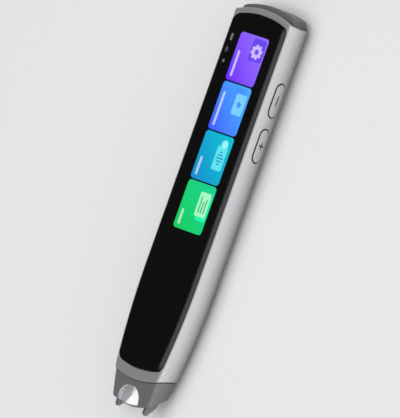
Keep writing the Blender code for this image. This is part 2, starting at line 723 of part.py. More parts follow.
def make_cap():
    """Plastic end cap: a plug in the sleeve's mouth with the charging port through it."""
    side = WALL + GAP
    rings = [
        section(BODY_WIDTH / 2 - side, side, CAVITY_TOP - GAP, side, CAVITY_FRONT_RADIUS - GAP, y)
        for y in (TOP_Y + OVERRUN, CAP_FOOT)
    ]
    cap = loft("top_cap", rings)
    dome = end_outline(WALL + GAP, TOP_Y, CAP_TIP_ARC, CAP_CORNER, 1)
    foot = [(BODY_WIDTH / 2, CAP_FOOT - OVERRUN), (-BODY_WIDTH / 2, CAP_FOOT - OVERRUN)]
    side = dome[-1][1]
    shoulders = [(BODY_WIDTH / 2, side - CAP_CORNER), (-BODY_WIDTH / 2, side - CAP_CORNER)]
    plan = dome + [shoulders[0]] + foot + [shoulders[1]] + [(-x, y) for x, y in dome[:0:-1]]
    combine(cap, plate("cap_plan", [plan], -OVERRUN, GLASS_TOP), "INTERSECT")
    port = rounded(
        rectangle(
            SOCKET_Z - SOCKET_HEIGHT / 2 - THIN_GAP,
            SOCKET_Z + SOCKET_HEIGHT / 2 + THIN_GAP,
            -SOCKET_HALF_WIDTH - THIN_GAP,
            SOCKET_HALF_WIDTH + THIN_GAP,
        ),
        SOCKET_CORNER + THIN_GAP,
    )
    combine(cap, plate("charging_port", [port], CAP_FOOT - OVERRUN, TOP_Y + OVERRUN, ALONG_Y))
    port_z = BOARD_FRONT + GAP + MICROPHONE_HEIGHT / 2
    combine(
        cap,
        cylinder(
            "microphone_port",
            MICROPHONE_PORT_RADIUS,
            (MICROPHONE_X, CAP_FOOT - OVERRUN, port_z),
            (MICROPHONE_X, TOP_Y + OVERRUN, port_z),
            HOLE_SIDES,
        ),
    )
    return finish(cap, (0.07, 0.07, 0.075), 0.45)


def make_keys():
    """Two side keys with their switches on an upright board."""
    board = plate(
        "side_key_board",
        [rounded(
            rectangle(
                KEY_BOARD_END_Y,
                KEY_BOARD_TOP_Y,
                KEY_Z - KEY_BOARD_HALF_HEIGHT,
                KEY_Z + KEY_BOARD_HALF_HEIGHT,
            ),
            KEY_BOARD_THICKNESS,
            2,
        )],
        KEY_BOARD_BACK,
        KEY_BOARD_FACE,
        ALONG_X,
    )
    finish(board, (0.02, 0.16, 0.08), 0.5)
    half = SWITCH_SIZE / 2
    for name, y in KEY_YS.items():
        key = plate(
            name + "_key",
            [key_outline(y, 0)],
            KEY_FLANGE_TOP - KEY_FLANGE / 2,
            KEY_FACE + OVERRUN,
            ALONG_X,
        )
        rings = [
            section(KEY_FACE, -KEY_PROUD, BODY_THICKNESS, -KEY_PROUD, FRONT_RADIUS, y + reach)
            for reach in (-KEY_LENGTH, KEY_LENGTH)
        ]
        combine(key, loft(name + "_key_face", rings), "INTERSECT")
        bevel(key, KEY_EDGE)
        flange = plate(
            name + "_key_flange",
            [key_outline(y, KEY_FLANGE_RIM)],
            KEY_FLANGE_FOOT,
            KEY_FLANGE_TOP,
            ALONG_X,
        )
        combine(key, flange, "UNION")
        nub_start = (KEY_FLANGE_TOP - KEY_FLANGE / 2, y, KEY_Z)
        combine(key, cylinder(name + "_key_nub", KEY_NUB_RADIUS, nub_start, (KEY_NUB_TIP, y, KEY_Z)), "UNION")
        finish(key, (0.46, 0.47, 0.49), 0.35, 1.0)
        switch = box(
            name + "_switch",
            (SWITCH_BACK, y - half, KEY_Z - half),
            (SWITCH_FACE, y + half, KEY_Z + half),
        )
        bore = cylinder(
            name + "_switch_bore",
            PLUNGER_RADIUS + SWITCH_CLEARANCE,
            (SWITCH_BACK - OVERRUN, y, KEY_Z),
            (SWITCH_FACE + OVERRUN, y, KEY_Z),
        )
        combine(switch, bore)
        finish(switch, (0.55, 0.56, 0.58), 0.35, 1.0)
        plunger = cylinder(
            name + "_switch_plunger",
            PLUNGER_RADIUS,
            (PLUNGER_TIP - PLUNGER_LENGTH, y, KEY_Z),
            (PLUNGER_TIP, y, KEY_Z),
            HOLE_SIDES,
        )
        finish(plunger, (0.03, 0.03, 0.03), 0.5)


def make_speaker():
    """Loudspeaker under the grille, sealed to the sleeve by a foam frame."""
    half_length = SPEAKER_LENGTH / 2
    shape = rectangle(-SPEAKER_HALF_WIDTH, SPEAKER_HALF_WIDTH, GRILLE_Y - half_length, GRILLE_Y + half_length)
    inner = rectangle(
        SPEAKER_GASKET_WIDTH - SPEAKER_HALF_WIDTH,
        SPEAKER_HALF_WIDTH - SPEAKER_GASKET_WIDTH,
        GRILLE_Y - half_length + SPEAKER_GASKET_WIDTH,
        GRILLE_Y + half_length - SPEAKER_GASKET_WIDTH,
    )
    outlines = [rounded(shape, SPEAKER_CORNER), rounded(inner, SPEAKER_CORNER / 2)]
    gasket = plate("speaker_gasket", outlines, WALL + GAP, WALL + GAP + SPEAKER_GASKET)
    finish(gasket, (0.02, 0.02, 0.02), 0.95)
    unit = plate("speaker_unit", [rounded(shape, SPEAKER_CORNER)], SPEAKER_BACK, SPEAKER_FRONT)
    finish(unit, (0.05, 0.05, 0.05), 0.5)


def screw_places():
    """The four places where the board is screwed to the chassis."""
    top = CHASSIS_TOP_Y - MICROPHONE_SIZE - SCREW_EDGE_DISTANCE
    end = CHASSIS_END_Y + END_WALL + SCREW_EDGE_DISTANCE + SCREW_HEAD_RADIUS
    return [(SCREW_LEFT, top), (SCREW_RIGHT, top), (SCREW_LEFT, end), (SCREW_RIGHT, end)]


def make_chassis():
    """Inner chassis: a tray along the pen, a rail for the key board and an end wall at the tip."""
    side = WALL + GAP
    heights = stations(CHASSIS_TOP_Y, CHASSIS_END_Y)
    right = [(half_width(y) - side, y) for y in heights]
    notch_x = RAIL_BACK + RAIL_THICKNESS / 2
    notch_top = KEY_BOARD_TOP_Y + GAP
    notch_end = KEY_BOARD_END_Y - GAP
    edge = [
        right[0],
        (right[0][0], notch_top),
        (notch_x, notch_top),
        (notch_x, notch_end),
        (right[0][0], notch_end),
    ] + right[1:]
    left = [(-x, y) for x, y in right[::-1]]
    chassis = plate("inner_chassis", [edge + left], CHASSIS_BACK, CHASSIS_FRONT)
    rail = box(
        "chassis_rail",
        (RAIL_BACK, KEY_BOARD_END_Y, CHASSIS_BACK + CHASSIS_THICKNESS / 2),
        (RAIL_FACE, KEY_BOARD_TOP_Y, KEY_Z + KEY_BOARD_HALF_HEIGHT),
    )
    combine(chassis, rail, "UNION")
    wall = box(
        "chassis_end_wall",
        (-END_WALL_HALF_WIDTH, CHASSIS_END_Y, CROSSBAR_BACK),
        (END_WALL_HALF_WIDTH, CHASSIS_END_Y + END_WALL, TRAY_UNDERSIDE),
    )
    combine(chassis, wall, "UNION")
    board = plate("main_board", [board_outline()], BOARD_BACK, BOARD_FRONT)
    for index, (x, y) in enumerate(screw_places()):
        for name, target in (("chassis", chassis), ("board", board)):
            hole = cylinder(
                f"{name}_screw_hole_{index + 1}",
                SCREW_HOLE_RADIUS,
                (x, y, CHASSIS_BACK - OVERRUN),
                (x, y, BOARD_FRONT + OVERRUN),
                HOLE_SIDES,
            )
            combine(target, hole)
    finish(chassis, (0.09, 0.09, 0.1), 0.6)
    finish(board, (0.02, 0.16, 0.08), 0.5)


def board_outline():
    """Main board: as wide as the sleeve allows on the left, clear of the key rail on the right."""
    left = WALL + BOARD_MARGIN - BODY_WIDTH / 2
    end = CHASSIS_END_Y + END_WALL + GAP
    return rounded(rectangle(left, BOARD_RIGHT, end, CHASSIS_TOP_Y), SHIELD_CORNER, 2)


def make_board_parts():
    """Shield over the processor, microphone, charging socket, battery and the board's screws."""
    reach = SHIELD_LENGTH / 2
    shield = plate(
        "processor_shield",
        [rounded(
            rectangle(-SHIELD_HALF_WIDTH, SHIELD_HALF_WIDTH, SHIELD_Y - reach, SHIELD_Y + reach),
            SHIELD_CORNER,
            3,
        )],
        BOARD_FRONT + GAP,
        BOARD_FRONT + GAP + SHIELD_HEIGHT,
    )
    finish(shield, (0.6, 0.61, 0.62), 0.35, 1.0)
    microphone = box(
        "microphone",
        (MICROPHONE_X - MICROPHONE_SIZE / 2, CHASSIS_TOP_Y - MICROPHONE_SIZE, BOARD_FRONT + GAP),
        (MICROPHONE_X + MICROPHONE_SIZE / 2, CHASSIS_TOP_Y, BOARD_FRONT + GAP + MICROPHONE_HEIGHT),
    )
    finish(microphone, (0.6, 0.6, 0.58), 0.4, 1.0)
    battery = plate(
        "battery_cell",
        [rounded(
            rectangle(
                -BATTERY_HALF_WIDTH,
                BATTERY_HALF_WIDTH,
                BATTERY_END_Y,
                BATTERY_TOP_Y,
            ),
            BATTERY_CORNER,
            3,
        )],
        WALL + GAP,
        CHASSIS_BACK - GAP,
    )
    finish(battery, (0.5, 0.5, 0.52), 0.4)
    for index, (x, y) in enumerate(screw_places()):
        make_screw(f"board_screw_{index + 1}", x, y)


def make_screw(name, x, y):
    """Pan-head screw, turned from its half profile."""
    under = BOARD_FRONT + GAP
    foot = CHASSIS_BACK - under
    profile = [
        (0, SCREW_HEAD),
        (SCREW_CROWN_RADIUS, SCREW_HEAD),
        (SCREW_HEAD_RADIUS, SCREW_HEAD_EDGE),
        (SCREW_HEAD_RADIUS, 0),
        (SCREW_SHANK_RADIUS, 0),
        (SCREW_SHANK_RADIUS, foot),
        (0, foot),
    ]
    screw = turned(name, profile, (x, y, under), HOLE_SIDES)
    finish(screw, (0.35, 0.35, 0.36), 0.3, 1.0)


def make_socket():
    """Charging socket: an oval metal shell, open at the cap's end, with a tongue in it."""
    low = SOCKET_Z - SOCKET_HEIGHT / 2
    high = SOCKET_Z + SOCKET_HEIGHT / 2
    mouth = SOCKET_FOOT + SOCKET_LENGTH
    shell_outline = rounded(
        rectangle(low, high, -SOCKET_HALF_WIDTH, SOCKET_HALF_WIDTH), SOCKET_CORNER
    )
    socket = plate("charging_socket", [shell_outline], SOCKET_FOOT, mouth, ALONG_Y)
    hollow_outline = rounded(
        rectangle(
            low + SOCKET_SHELL,
            high - SOCKET_SHELL,
            SOCKET_SHELL - SOCKET_HALF_WIDTH,
            SOCKET_HALF_WIDTH - SOCKET_SHELL,
        ),
        SOCKET_CORNER - SOCKET_SHELL,
    )
    hollow = plate("socket_hollow", [hollow_outline], mouth - SOCKET_DEPTH, mouth + OVERRUN, ALONG_Y)
    combine(socket, hollow)
    tongue = box(
        "socket_tongue",
        (-SOCKET_TONGUE_HALF_WIDTH, mouth - SOCKET_DEPTH - SOCKET_SHELL, SOCKET_Z - SOCKET_TONGUE / 2),
        (
            SOCKET_TONGUE_HALF_WIDTH,
            mouth - SOCKET_DEPTH + SOCKET_TONGUE_LENGTH,
            SOCKET_Z + SOCKET_TONGUE / 2,
        ),
    )
    combine(socket, tongue, "UNION")
    finish(socket, (0.55, 0.56, 0.57), 0.3, 1.0)


def nose_front(y):
    """Front face of the nose, which leans back towards the tip."""
    return NOSE_LIP_FRONT + NOSE_LEAN_SHARE * (y - NOSE_END)


def arch_outline(margin):
    """Front arch in X and Y, drawn in by a margin: a half round on two legs over a curved sill."""
    radius = ARCH_WIDTH / 2 - margin
    top = SLEEVE_END - ARCH_DROP - margin
    sill = arc_points(NOSE_END + ARCH_SILL + margin, NOSE_RIM_ARC - ARCH_SILL, radius, -1)
    crown = []
    for step in range(ARC_STEPS + 1):
        angle = math.pi * step / ARC_STEPS
        crown.append((radius * math.cos(angle), top - radius + radius * math.sin(angle)))
    return [(x - ARCH_OFFSET, y) for x, y in sill + crown]


def make_nose():
    """Plastic nose: a tapering hood with an arch in front and behind, and a spigot in the sleeve."""
    reach = NOSE_END - OVERRUN
    hood = loft(
        "nose_shell",
        [
            section(
                half_width(y) - NOSE_INSET,
                NOSE_BACK_INSET,
                nose_front(y),
                NOSE_BACK_INSET,
                NOSE_FRONT_RADIUS,
                y,
            )
            for y in stations(sleeve_end(0) + END_SAGITTA + OVERRUN, reach)
        ],
    )
    wide = END_HALF_WIDTH + OVERRUN
    rings = []
    for z in (-OVERRUN, GLASS_TOP + OVERRUN):
        lip = NOSE_END + NOSE_SLANT_SHARE * (NOSE_LIP_FRONT - z)
        seam = arc_points(sleeve_end(z) - GAP, END_ARC, wide, -1)
        rim = arc_points(lip, NOSE_RIM_ARC, wide, -1)
        rings.append([(x, y, z) for x, y in seam + rim[::-1]])
    combine(hood, loft("nose_extent", rings), "INTERSECT")
    side = WALL + GAP
    spigot_rings = [
        section(
            half_width(y) - side,
            side,
            SPIGOT_FRONT,
            side,
            CAVITY_FRONT_RADIUS - GAP,
            y,
        )
        for y in stations(SPIGOT_TOP, SLEEVE_END - OVERRUN)
    ]
    combine(hood, loft("nose_spigot", spigot_rings), "UNION")
    inner = side + NOSE_WALL
    step_top = SLEEVE_END - NOSE_WALL
    step_end = step_top - NOSE_WALL
    hollow_rings = []
    for y, inset, front in (
        (SPIGOT_TOP + OVERRUN, inner, SPIGOT_FRONT - NOSE_WALL),
        (step_top, inner, SPIGOT_FRONT - NOSE_WALL),
        (step_end, NOSE_INSET + NOSE_WALL, nose_front(step_end) - NOSE_WALL),
        (reach - OVERRUN, NOSE_INSET + NOSE_WALL, nose_front(reach - OVERRUN) - NOSE_WALL),
    ):
        hollow_rings.append(
            section(half_width(y) - inset, inner, front, inner, CAVITY_FRONT_RADIUS, y)
        )
    combine(hood, loft("nose_hollow", hollow_rings))
    front_arch = plate(
        "front_arch",
        [arch_outline(0)],
        NOSE_LIP_FRONT - 2 * NOSE_WALL,
        NOSE_LIP_FRONT + OVERRUN,
        LEANING,
    )
    combine(hood, front_arch)
    half = NOSE_HALF_WIDTH - NOSE_INSET - NOSE_BACK_ARCH_SIDE
    arch_top = sleeve_end(0) - NOSE_BACK_ARCH_DROP
    corners = rectangle(-half, half, reach - OVERRUN, arch_top)
    back_arch = plate(
        "back_arch",
        [rounded(corners, [0, 0, NOSE_BACK_ARCH_RADIUS, NOSE_BACK_ARCH_RADIUS])],
        -OVERRUN,
        inner + NOSE_WALL,
    )
    combine(hood, back_arch)
    finish(hood, (0.105, 0.105, 0.11), 0.5)
    pane_front = NOSE_LIP_FRONT - THIN_GAP
    pane = plate("tip_window", [arch_outline(THIN_GAP)], pane_front - PANE_THICKNESS, pane_front, LEANING)
    finish(pane, (0.9, 0.92, 0.93), 0.1, alpha=0.4)


def foot_outline():
    """Side view of a foot in Y and Z: straight in front, swept up behind its low point."""
    points = []
    for along, across in FOOT_OUTLINE_SHARES:
        points.append((FEET_END + FOOT_LENGTH * along, FOOT_FRONT - FOOT_DEPTH * across))
    return rounded(points[::-1], FOOT_ROUND, 3)


def make_fork():
    """Sprung fork: two feet on arms, a crossbar behind the camera and a nub that trips the switch."""
    bar_end = CROSSBAR_TOP_Y - CROSSBAR_LENGTH
    bar_front = CROSSBAR_BACK + CROSSBAR_DEPTH
    pad_outer = FOOT_OUTER + PAD_OVERHANG
    fork = box(
        "tip_fork",
        (-pad_outer, bar_end, CROSSBAR_BACK),
        (pad_outer, CROSSBAR_TOP_Y, bar_front),
    )
    for name, side in (("left", -1), ("right", 1)):
        inner = side * FOOT_INNER
        outer = side * FOOT_OUTER
        low, high = sorted((inner, outer))
        foot = plate("foot_" + name, [foot_outline()], low, high, ALONG_X)
        arm = box(
            "arm_" + name,
            (low + ARM_INSET, FEET_END + FOOT_LENGTH - ARM_DEPTH, FOOT_BACK + ARM_INSET),
            (high - ARM_INSET, bar_end + CROSSBAR_LENGTH / 2, FOOT_BACK + ARM_DEPTH),
        )
        pad_low, pad_high = sorted((side * (FOOT_INNER - PAD_OVERHANG), side * pad_outer))
        pad = box(
            "pad_" + name,
            (pad_low, bar_end, CROSSBAR_BACK + CROSSBAR_DEPTH / 2),
            (pad_high, CROSSBAR_TOP_Y, FOOT_BACK + ARM_DEPTH + PAD_OVERHANG),
        )
        combine(fork, foot, "UNION")
        combine(fork, pad, "UNION")
        combine(fork, arm, "UNION")
    nub = cylinder(
        "trip_nub",
        TIP_PLUNGER_RADIUS,
        (0, CROSSBAR_TOP_Y - CROSSBAR_LENGTH / 2, TIP_SWITCH_Z),
        (0, TIP_PLUNGER_END_Y - GAP, TIP_SWITCH_Z),
        HOLE_SIDES,
    )
    combine(fork, nub, "UNION")
    finish(fork, (0.12, 0.12, 0.125), 0.5)


def make_tip_switch():
    """Switch on the chassis's end wall that the fork's nub presses."""
    half = CROSSBAR_DEPTH / 2
    switch = box(
        "tip_switch",
        (-TIP_SWITCH_HALF_WIDTH, TIP_SWITCH_END_Y, TIP_SWITCH_Z - half),
        (TIP_SWITCH_HALF_WIDTH, TIP_SWITCH_TOP_Y, TIP_SWITCH_Z + half),
    )
    bore = cylinder(
        "tip_switch_bore",
        TIP_PLUNGER_RADIUS + SWITCH_CLEARANCE,
        (0, TIP_SWITCH_END_Y - OVERRUN, TIP_SWITCH_Z),
        (0, TIP_BORE_TOP_Y, TIP_SWITCH_Z),
    )
    combine(switch, bore)
    finish(switch, (0.03, 0.03, 0.03), 0.5)
    plunger = cylinder(
        "tip_switch_plunger",
        TIP_PLUNGER_RADIUS,
        (0, TIP_PLUNGER_END_Y, TIP_SWITCH_Z),
        (0, TIP_PLUNGER_TOP_Y, TIP_SWITCH_Z),
        HOLE_SIDES,
    )
    finish(plunger, (0.55, 0.5, 0.4), 0.4, 1.0)


def make_spring(name, x):
    """Compression spring between a pad of the fork and the chassis's end wall."""
    start = CROSSBAR_TOP_Y + GAP + SPRING_WIRE_RADIUS
    length = CHASSIS_END_Y - GAP - SPRING_WIRE_RADIUS - start
    curve = bpy.data.curves.new(name, "CURVE")
    curve.dimensions = "3D"
    curve.bevel_depth = SPRING_WIRE_RADIUS
    curve.bevel_resolution = 1
    curve.use_fill_caps = True
    spline = curve.splines.new("POLY")
    count = SPRING_TURNS * SPRING_POINTS_PER_TURN + 1
    spline.points.add(count - 1)
    for index, point in enumerate(spline.points):
        angle = math.tau * index / SPRING_POINTS_PER_TURN
        share = index / (count - 1)
        across = SPRING_RADIUS * math.cos(angle)
        up = SPRING_RADIUS * math.sin(angle)
        point.co = (across, length * share, up, 1)
    spring = bpy.data.objects.new(name, curve)
    spring.location = (x, start, SPRING_Z)
    spring.parent = BODY_EMPTY
    PEN.objects.link(spring)
    finish(spring, (0.5, 0.5, 0.5), 0.3, 1.0)


def make_camera():
    """Camera block with its barrel and lens, and the board behind it."""
    board = box(
        "camera_board",
        (-CAMERA_HALF_WIDTH, CAMERA_BOARD_END_Y, CAMERA_BACK),
        (CAMERA_HALF_WIDTH, CAMERA_BOARD_TOP_Y, CAMERA_FRONT),
    )
    finish(board, (0.02, 0.16, 0.08), 0.5)
    housing = box(
        "camera_housing",
        (-CAMERA_HALF_WIDTH, BARREL_TOP_Y, CAMERA_BACK),
        (CAMERA_HALF_WIDTH, CAMERA_TOP_Y, CAMERA_FRONT),
    )
    barrel = cylinder(
        "camera_barrel",
        BARREL_RADIUS,
        (0, BARREL_TOP_Y + BARREL_RADIUS, CAMERA_Z),
        (0, BARREL_END_Y, CAMERA_Z),
    )
    combine(housing, barrel, "UNION")
    bore = cylinder(
        "camera_bore",
        BARREL_BORE_RADIUS,
        (0, BARREL_END_Y + BARREL_BORE_DEPTH, CAMERA_Z),
        (0, BARREL_END_Y - OVERRUN, CAMERA_Z),
    )
    combine(housing, bore)
    finish(housing, (0.02, 0.02, 0.022), 0.6)
    lens_top = BARREL_END_Y + BARREL_BORE_DEPTH - GAP
    lens_edge = lens_top - LENS_THICKNESS + LENS_BULGE
    lens_profile = [(0, 0), (LENS_RADIUS, 0), (LENS_RADIUS, lens_edge - lens_top)]
    for step in range(1, CORNER_STEPS + 1):
        angle = math.pi / 2 * step / CORNER_STEPS
        drop = LENS_BULGE * math.sin(angle)
        lens_profile.append((LENS_RADIUS * math.cos(angle), lens_edge - lens_top - drop))
    lens_profile[-1] = (0, lens_profile[-1][1])
    lens = turned("camera_lens", lens_profile, (0, lens_top, CAMERA_Z), ROUND_SIDES)
    lens.rotation_euler = (math.radians(-90), 0, 0)
    finish(lens, (0.02, 0.02, 0.05), 0.05)


def make_lamps():
    """Lamp board round the barrel with two lamps, and the diffuser that closes the nose inside."""
    low = CAMERA_BACK
    lamp_board = box(
        "lamp_board",
        (-LAMP_BOARD_HALF_WIDTH, LAMP_BOARD_END_Y, low),
        (LAMP_BOARD_HALF_WIDTH, LAMP_BOARD_END_Y + LAMP_BOARD_THICKNESS, CAMERA_FRONT),
    )
    hole = cylinder(
        "lamp_board_hole",
        BARREL_RADIUS + GAP,
        (0, LAMP_BOARD_END_Y - OVERRUN, CAMERA_Z),
        (0, LAMP_BOARD_END_Y + OVERRUN, CAMERA_Z),
    )
    combine(lamp_board, hole)
    finish(lamp_board, (0.75, 0.76, 0.76), 0.5)
    half = LAMP_SIZE / 2
    for name, x in (("lamp_left", -LAMP_X), ("lamp_right", LAMP_X)):
        lamp = box(
            name,
            (x - half, LAMP_BOARD_END_Y - GAP - LAMP_HEIGHT, CAMERA_Z - half),
            (x + half, LAMP_BOARD_END_Y - GAP, CAMERA_Z + half),
        )
        finish(lamp, (0.9, 0.88, 0.6), 0.3)
    inner = WALL + GAP + NOSE_WALL
    diffuser = box(
        "light_diffuser",
        (-DIFFUSER_HALF_WIDTH, DIFFUSER_TOP_Y - DIFFUSER_THICKNESS, inner + GAP),
        (DIFFUSER_HALF_WIDTH, DIFFUSER_TOP_Y, SPIGOT_FRONT - NOSE_WALL - GAP),
    )
    bore = cylinder(
        "diffuser_bore",
        DIFFUSER_BORE_RADIUS,
        (0, DIFFUSER_TOP_Y - OVERRUN, CAMERA_Z),
        (0, DIFFUSER_TOP_Y + OVERRUN, CAMERA_Z),
    )
    combine(diffuser, bore)
    finish(diffuser, (0.85, 0.86, 0.86), 0.4, alpha=0.7)


make_sleeve()
make_front()
make_cap()
make_keys()
make_speaker()
make_chassis()
make_board_parts()
make_socket()
make_nose()
make_fork()
make_tip_switch()
make_spring("tip_spring_left", -SPRING_X)
make_spring("tip_spring_right", SPRING_X)
make_camera()
make_lamps()
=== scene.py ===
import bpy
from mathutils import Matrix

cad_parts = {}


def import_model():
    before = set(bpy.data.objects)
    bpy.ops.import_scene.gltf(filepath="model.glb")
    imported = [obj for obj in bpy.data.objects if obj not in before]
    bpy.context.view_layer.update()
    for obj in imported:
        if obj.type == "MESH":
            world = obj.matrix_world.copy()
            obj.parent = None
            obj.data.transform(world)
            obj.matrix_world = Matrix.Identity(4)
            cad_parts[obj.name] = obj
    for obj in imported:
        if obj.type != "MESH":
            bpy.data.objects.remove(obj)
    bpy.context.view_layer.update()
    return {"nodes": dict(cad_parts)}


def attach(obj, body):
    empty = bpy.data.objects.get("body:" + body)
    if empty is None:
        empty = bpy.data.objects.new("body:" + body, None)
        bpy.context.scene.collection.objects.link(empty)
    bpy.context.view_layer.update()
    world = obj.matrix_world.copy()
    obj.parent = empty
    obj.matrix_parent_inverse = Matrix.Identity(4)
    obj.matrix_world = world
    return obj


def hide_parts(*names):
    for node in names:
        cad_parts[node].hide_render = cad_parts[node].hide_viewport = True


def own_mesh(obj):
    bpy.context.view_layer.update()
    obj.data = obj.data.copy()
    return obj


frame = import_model()

# Looks of the scanning pen, in metres: a grey metal sleeve round a black glass with a lit menu, two side
# keys, a dark cap, and a dark nose with a clear pane and two sprung feet.

from math import asin, atan2, copysign, cos, hypot, pi, radians, sin, sqrt, tan, tau

import bmesh
import bpy
from mathutils import Matrix, Vector

# Whole pen and how its length divides
TOP_Y = 0.0753
CAP_RISE = 0.002
SLEEVE_TOP = TOP_Y - CAP_RISE
FEET_END = -0.0753
NOSE_END = FEET_END + 0.0015
SLEEVE_END = NOSE_END + 0.0094

# Sleeve
WIDTH = 0.0286
THICKNESS = 0.013
WALL = 0.0009
GAP = 0.0003
THIN_GAP = 0.0002
BACK_RADIUS = 0.005
SIDE_RADIUS = 0.009
SIDE_TURN = radians(30)
FRONT_RADIUS = 0.0015
TOP_ARC = 0.0375
END_ARC = 0.033
END_SLANT_SHARE = 0.2
TAPER_LENGTH = 0.04885
NOSE_HALF_WIDTH = 0.00945
TAPER_START = NOSE_END + TAPER_LENGTH
TAPER_DROP = WIDTH / 2 - NOSE_HALF_WIDTH
TAPER_ARC = (TAPER_LENGTH ** 2 + TAPER_DROP ** 2) / (2 * TAPER_DROP)
MOUTH_EDGE = 0.00016
FIRST_SHARE = 0.02
STRAIGHT_SHARE = 0.72
LAST_SHARE = 0.99

# Glass, the grey strip of painted reflection along its edge on the keys' side, its pocket and the cavity
# under it
GLASS_TOP = 0.0132
GLASS_UNDERSIDE = 0.0122
GLASS_INSET = 0.0013
GLASS_TOP_MARGIN = 0.00235
GLASS_END_MARGIN = 0.0042
GLASS_END_ARC = 0.034
GLASS_TOP_CORNER = 0.0028
GLASS_END_CORNER = 0.003
GLASS_EDGE_WIDTH = 0.0021
GLASS_EDGE_DROP = 0.00016
# Where the grey strip of painted reflection lies along the glass edge on the keys' side, and how it fades
PAINTED_REFLECTION_WIDTH = GLASS_EDGE_WIDTH * 0.98
PAINTED_REFLECTION_FADE = GLASS_EDGE_WIDTH * 0.35
PAINTED_REFLECTION_TOP = SLEEVE_TOP - 0.003
PAINTED_REFLECTION_TOP_FADE = 0.003
PAINTED_REFLECTION_END = SLEEVE_END + 0.0058
PAINTED_REFLECTION_END_FADE = 0.002
POCKET_FLOOR = 0.0115
CAVITY_TOP = 0.0107
CAVITY_FRONT_RADIUS = 0.0006
DISPLAY_HALF_WIDTH = 0.0114
DISPLAY_TOP = SLEEVE_TOP - 0.0072
DISPLAY_END = SLEEVE_END + 0.0535

# Keys
KEY_LENGTH = 0.0123
KEY_WIDTH = 0.0048
KEY_Z = 0.0072
KEY_YS = {"minus": SLEEVE_TOP - 0.029, "plus": SLEEVE_TOP - 0.029 - 0.0168}
KEY_PROUD = 0.0002
KEY_CLEARANCE = 0.00025
KEY_EDGE = 0.00045
KEY_FLANGE_TOP = WIDTH / 2 - WALL - 0.0009
KEY_FLANGE_FOOT = KEY_FLANGE_TOP - 0.0006
KEY_FLANGE_RIM = 0.0007
KEY_NUB_RADIUS = 0.0008
KEY_NUB_TIP = KEY_FLANGE_FOOT - 0.0004

# Grille
GRILLE_Y = SLEEVE_TOP - 0.0136
GRILLE_HOLE_RADIUS = 0.00047
GRILLE_RING_STEP = 0.00187
GRILLE_PEG_Z = 0.0004

# Cap
CAP_FOOT = SLEEVE_TOP - CAP_RISE - 0.0045
CAP_CORNER = 0.0022
CAP_ARC = TOP_ARC + CAP_RISE
CAP_EDGE = 0.0006
CAP_HOLE_DEPTH = 0.011
SOCKET_Z = 0.0065
SOCKET_HALF_WIDTH = 0.0047
SOCKET_HALF_HEIGHT = 0.0018
SOCKET_CORNER = 0.0015
MICROPHONE_X = -0.0063
MICROPHONE_Z = 0.0077
MICROPHONE_RADIUS = 0.0005

# Nose
NOSE_INSET = 0.00045
NOSE_BACK_INSET = 0.0009
NOSE_LIP_FRONT = THICKNESS - 0.0007 - 0.0013
NOSE_LEAN_SHARE = 0.0013 / 0.0094
NOSE_FRONT_RADIUS = 0.0012
NOSE_WALL = 0.0009
NOSE_RIM_ARC = 0.024
NOSE_SLANT_SHARE = 0.55
NOSE_EDGE = 0.00025
SPIGOT_FRONT = CAVITY_TOP - GAP
SPIGOT_TOP = SLEEVE_END + 0.0072
ARCH_WIDTH = 0.0102
ARCH_OFFSET = 0.0014
ARCH_DROP = 0.0021
ARCH_SILL = 0.00045
BACK_ARCH_SIDE = 0.0022
BACK_ARCH_RADIUS = 0.0035
BACK_ARCH_DROP = 0.0024
BACK_ARCH_OVERRUN = 0.004
PANE_THICKNESS = 0.0006
PANE_EDGE = 0.00012

# Fork
FOOT_OUTER = NOSE_HALF_WIDTH - NOSE_INSET - NOSE_WALL - 0.00025
FOOT_INNER = FOOT_OUTER - 0.0021
FOOT_FRONT = 0.01
FOOT_DEPTH = 0.0052
FOOT_BACK = FOOT_FRONT - FOOT_DEPTH
FOOT_LENGTH = 0.0074
FOOT_EDGE = 0.00045
FOOT_ROUND = 0.0007
FOOT_SHARES = ((1.0, 0.0), (0.10, 0.0), (0.0, 0.10), (0.0, 0.24), (0.40, 0.80), (0.62, 1.0), (1.0, 1.0))
FOOT_CORNERS = (0.0008, 0.0007, 0.0007, 0.0009, 0.0014, 0.001, 0.0008)
ARM_DEPTH = 0.0026
ARM_INSET = 0.0001
CROSSBAR_TOP = -0.05
CROSSBAR_LENGTH = 0.0025
CROSSBAR_BACK = 0.0016
CROSSBAR_DEPTH = 0.0026
PAD_OVERHANG = 0.0004
NUB_RADIUS = 0.0007
NUB_END = -0.0461
FORK_HAIR = 0.00001

# Springs between the fork's pads and the chassis
SPRING_TOP = -0.0418
SPRING_RADIUS = 0.00095
SPRING_WIRE_RADIUS = 0.00015
SPRING_TURNS = 8
SPRING_CLOSED_PITCH = 0.00034
SPRING_WIRE_SIDES = 8

# Broken rim of an opening: how deep and how far drawn out each ring of its cutter lies
FLARE = ((0.00018, 0.0), (0.00006, 0.00005), (-0.0004, 0.0006))

# Facets, and how fine the sums are
FLAT_STEPS = 10
BACK_STEPS = 16
SIDE_STEPS = 8
FRONT_STEPS = 8
ROUND_STEPS = 12
ARC_STEPS = 32
EDGE_STEPS = 4
STRAIGHT_STEPS = 8
TAPER_STEPS = 26
NOSE_STEPS = 12
CROWN_STEPS = 8
CAP_STEPS = 6
SETTLE_STEPS = 7
HALVINGS = 48
WELD = 0.000001
SHARP_ANGLE = radians(32)

# Finishes, their sizes in millimetres
METAL_GRAIN = 0.12
# Painted shade on the metal: its share, the height (mm) where it starts, and how far down it grows
METAL_PAINTED_SHADE = 0.68
PAINTED_SHADE_START_Z = 10.5
PAINTED_SHADE_REACH = 7.5
KEY_MARK_HALF_WIDTH = 0.24
KEY_MARK_SOFT = 0.12
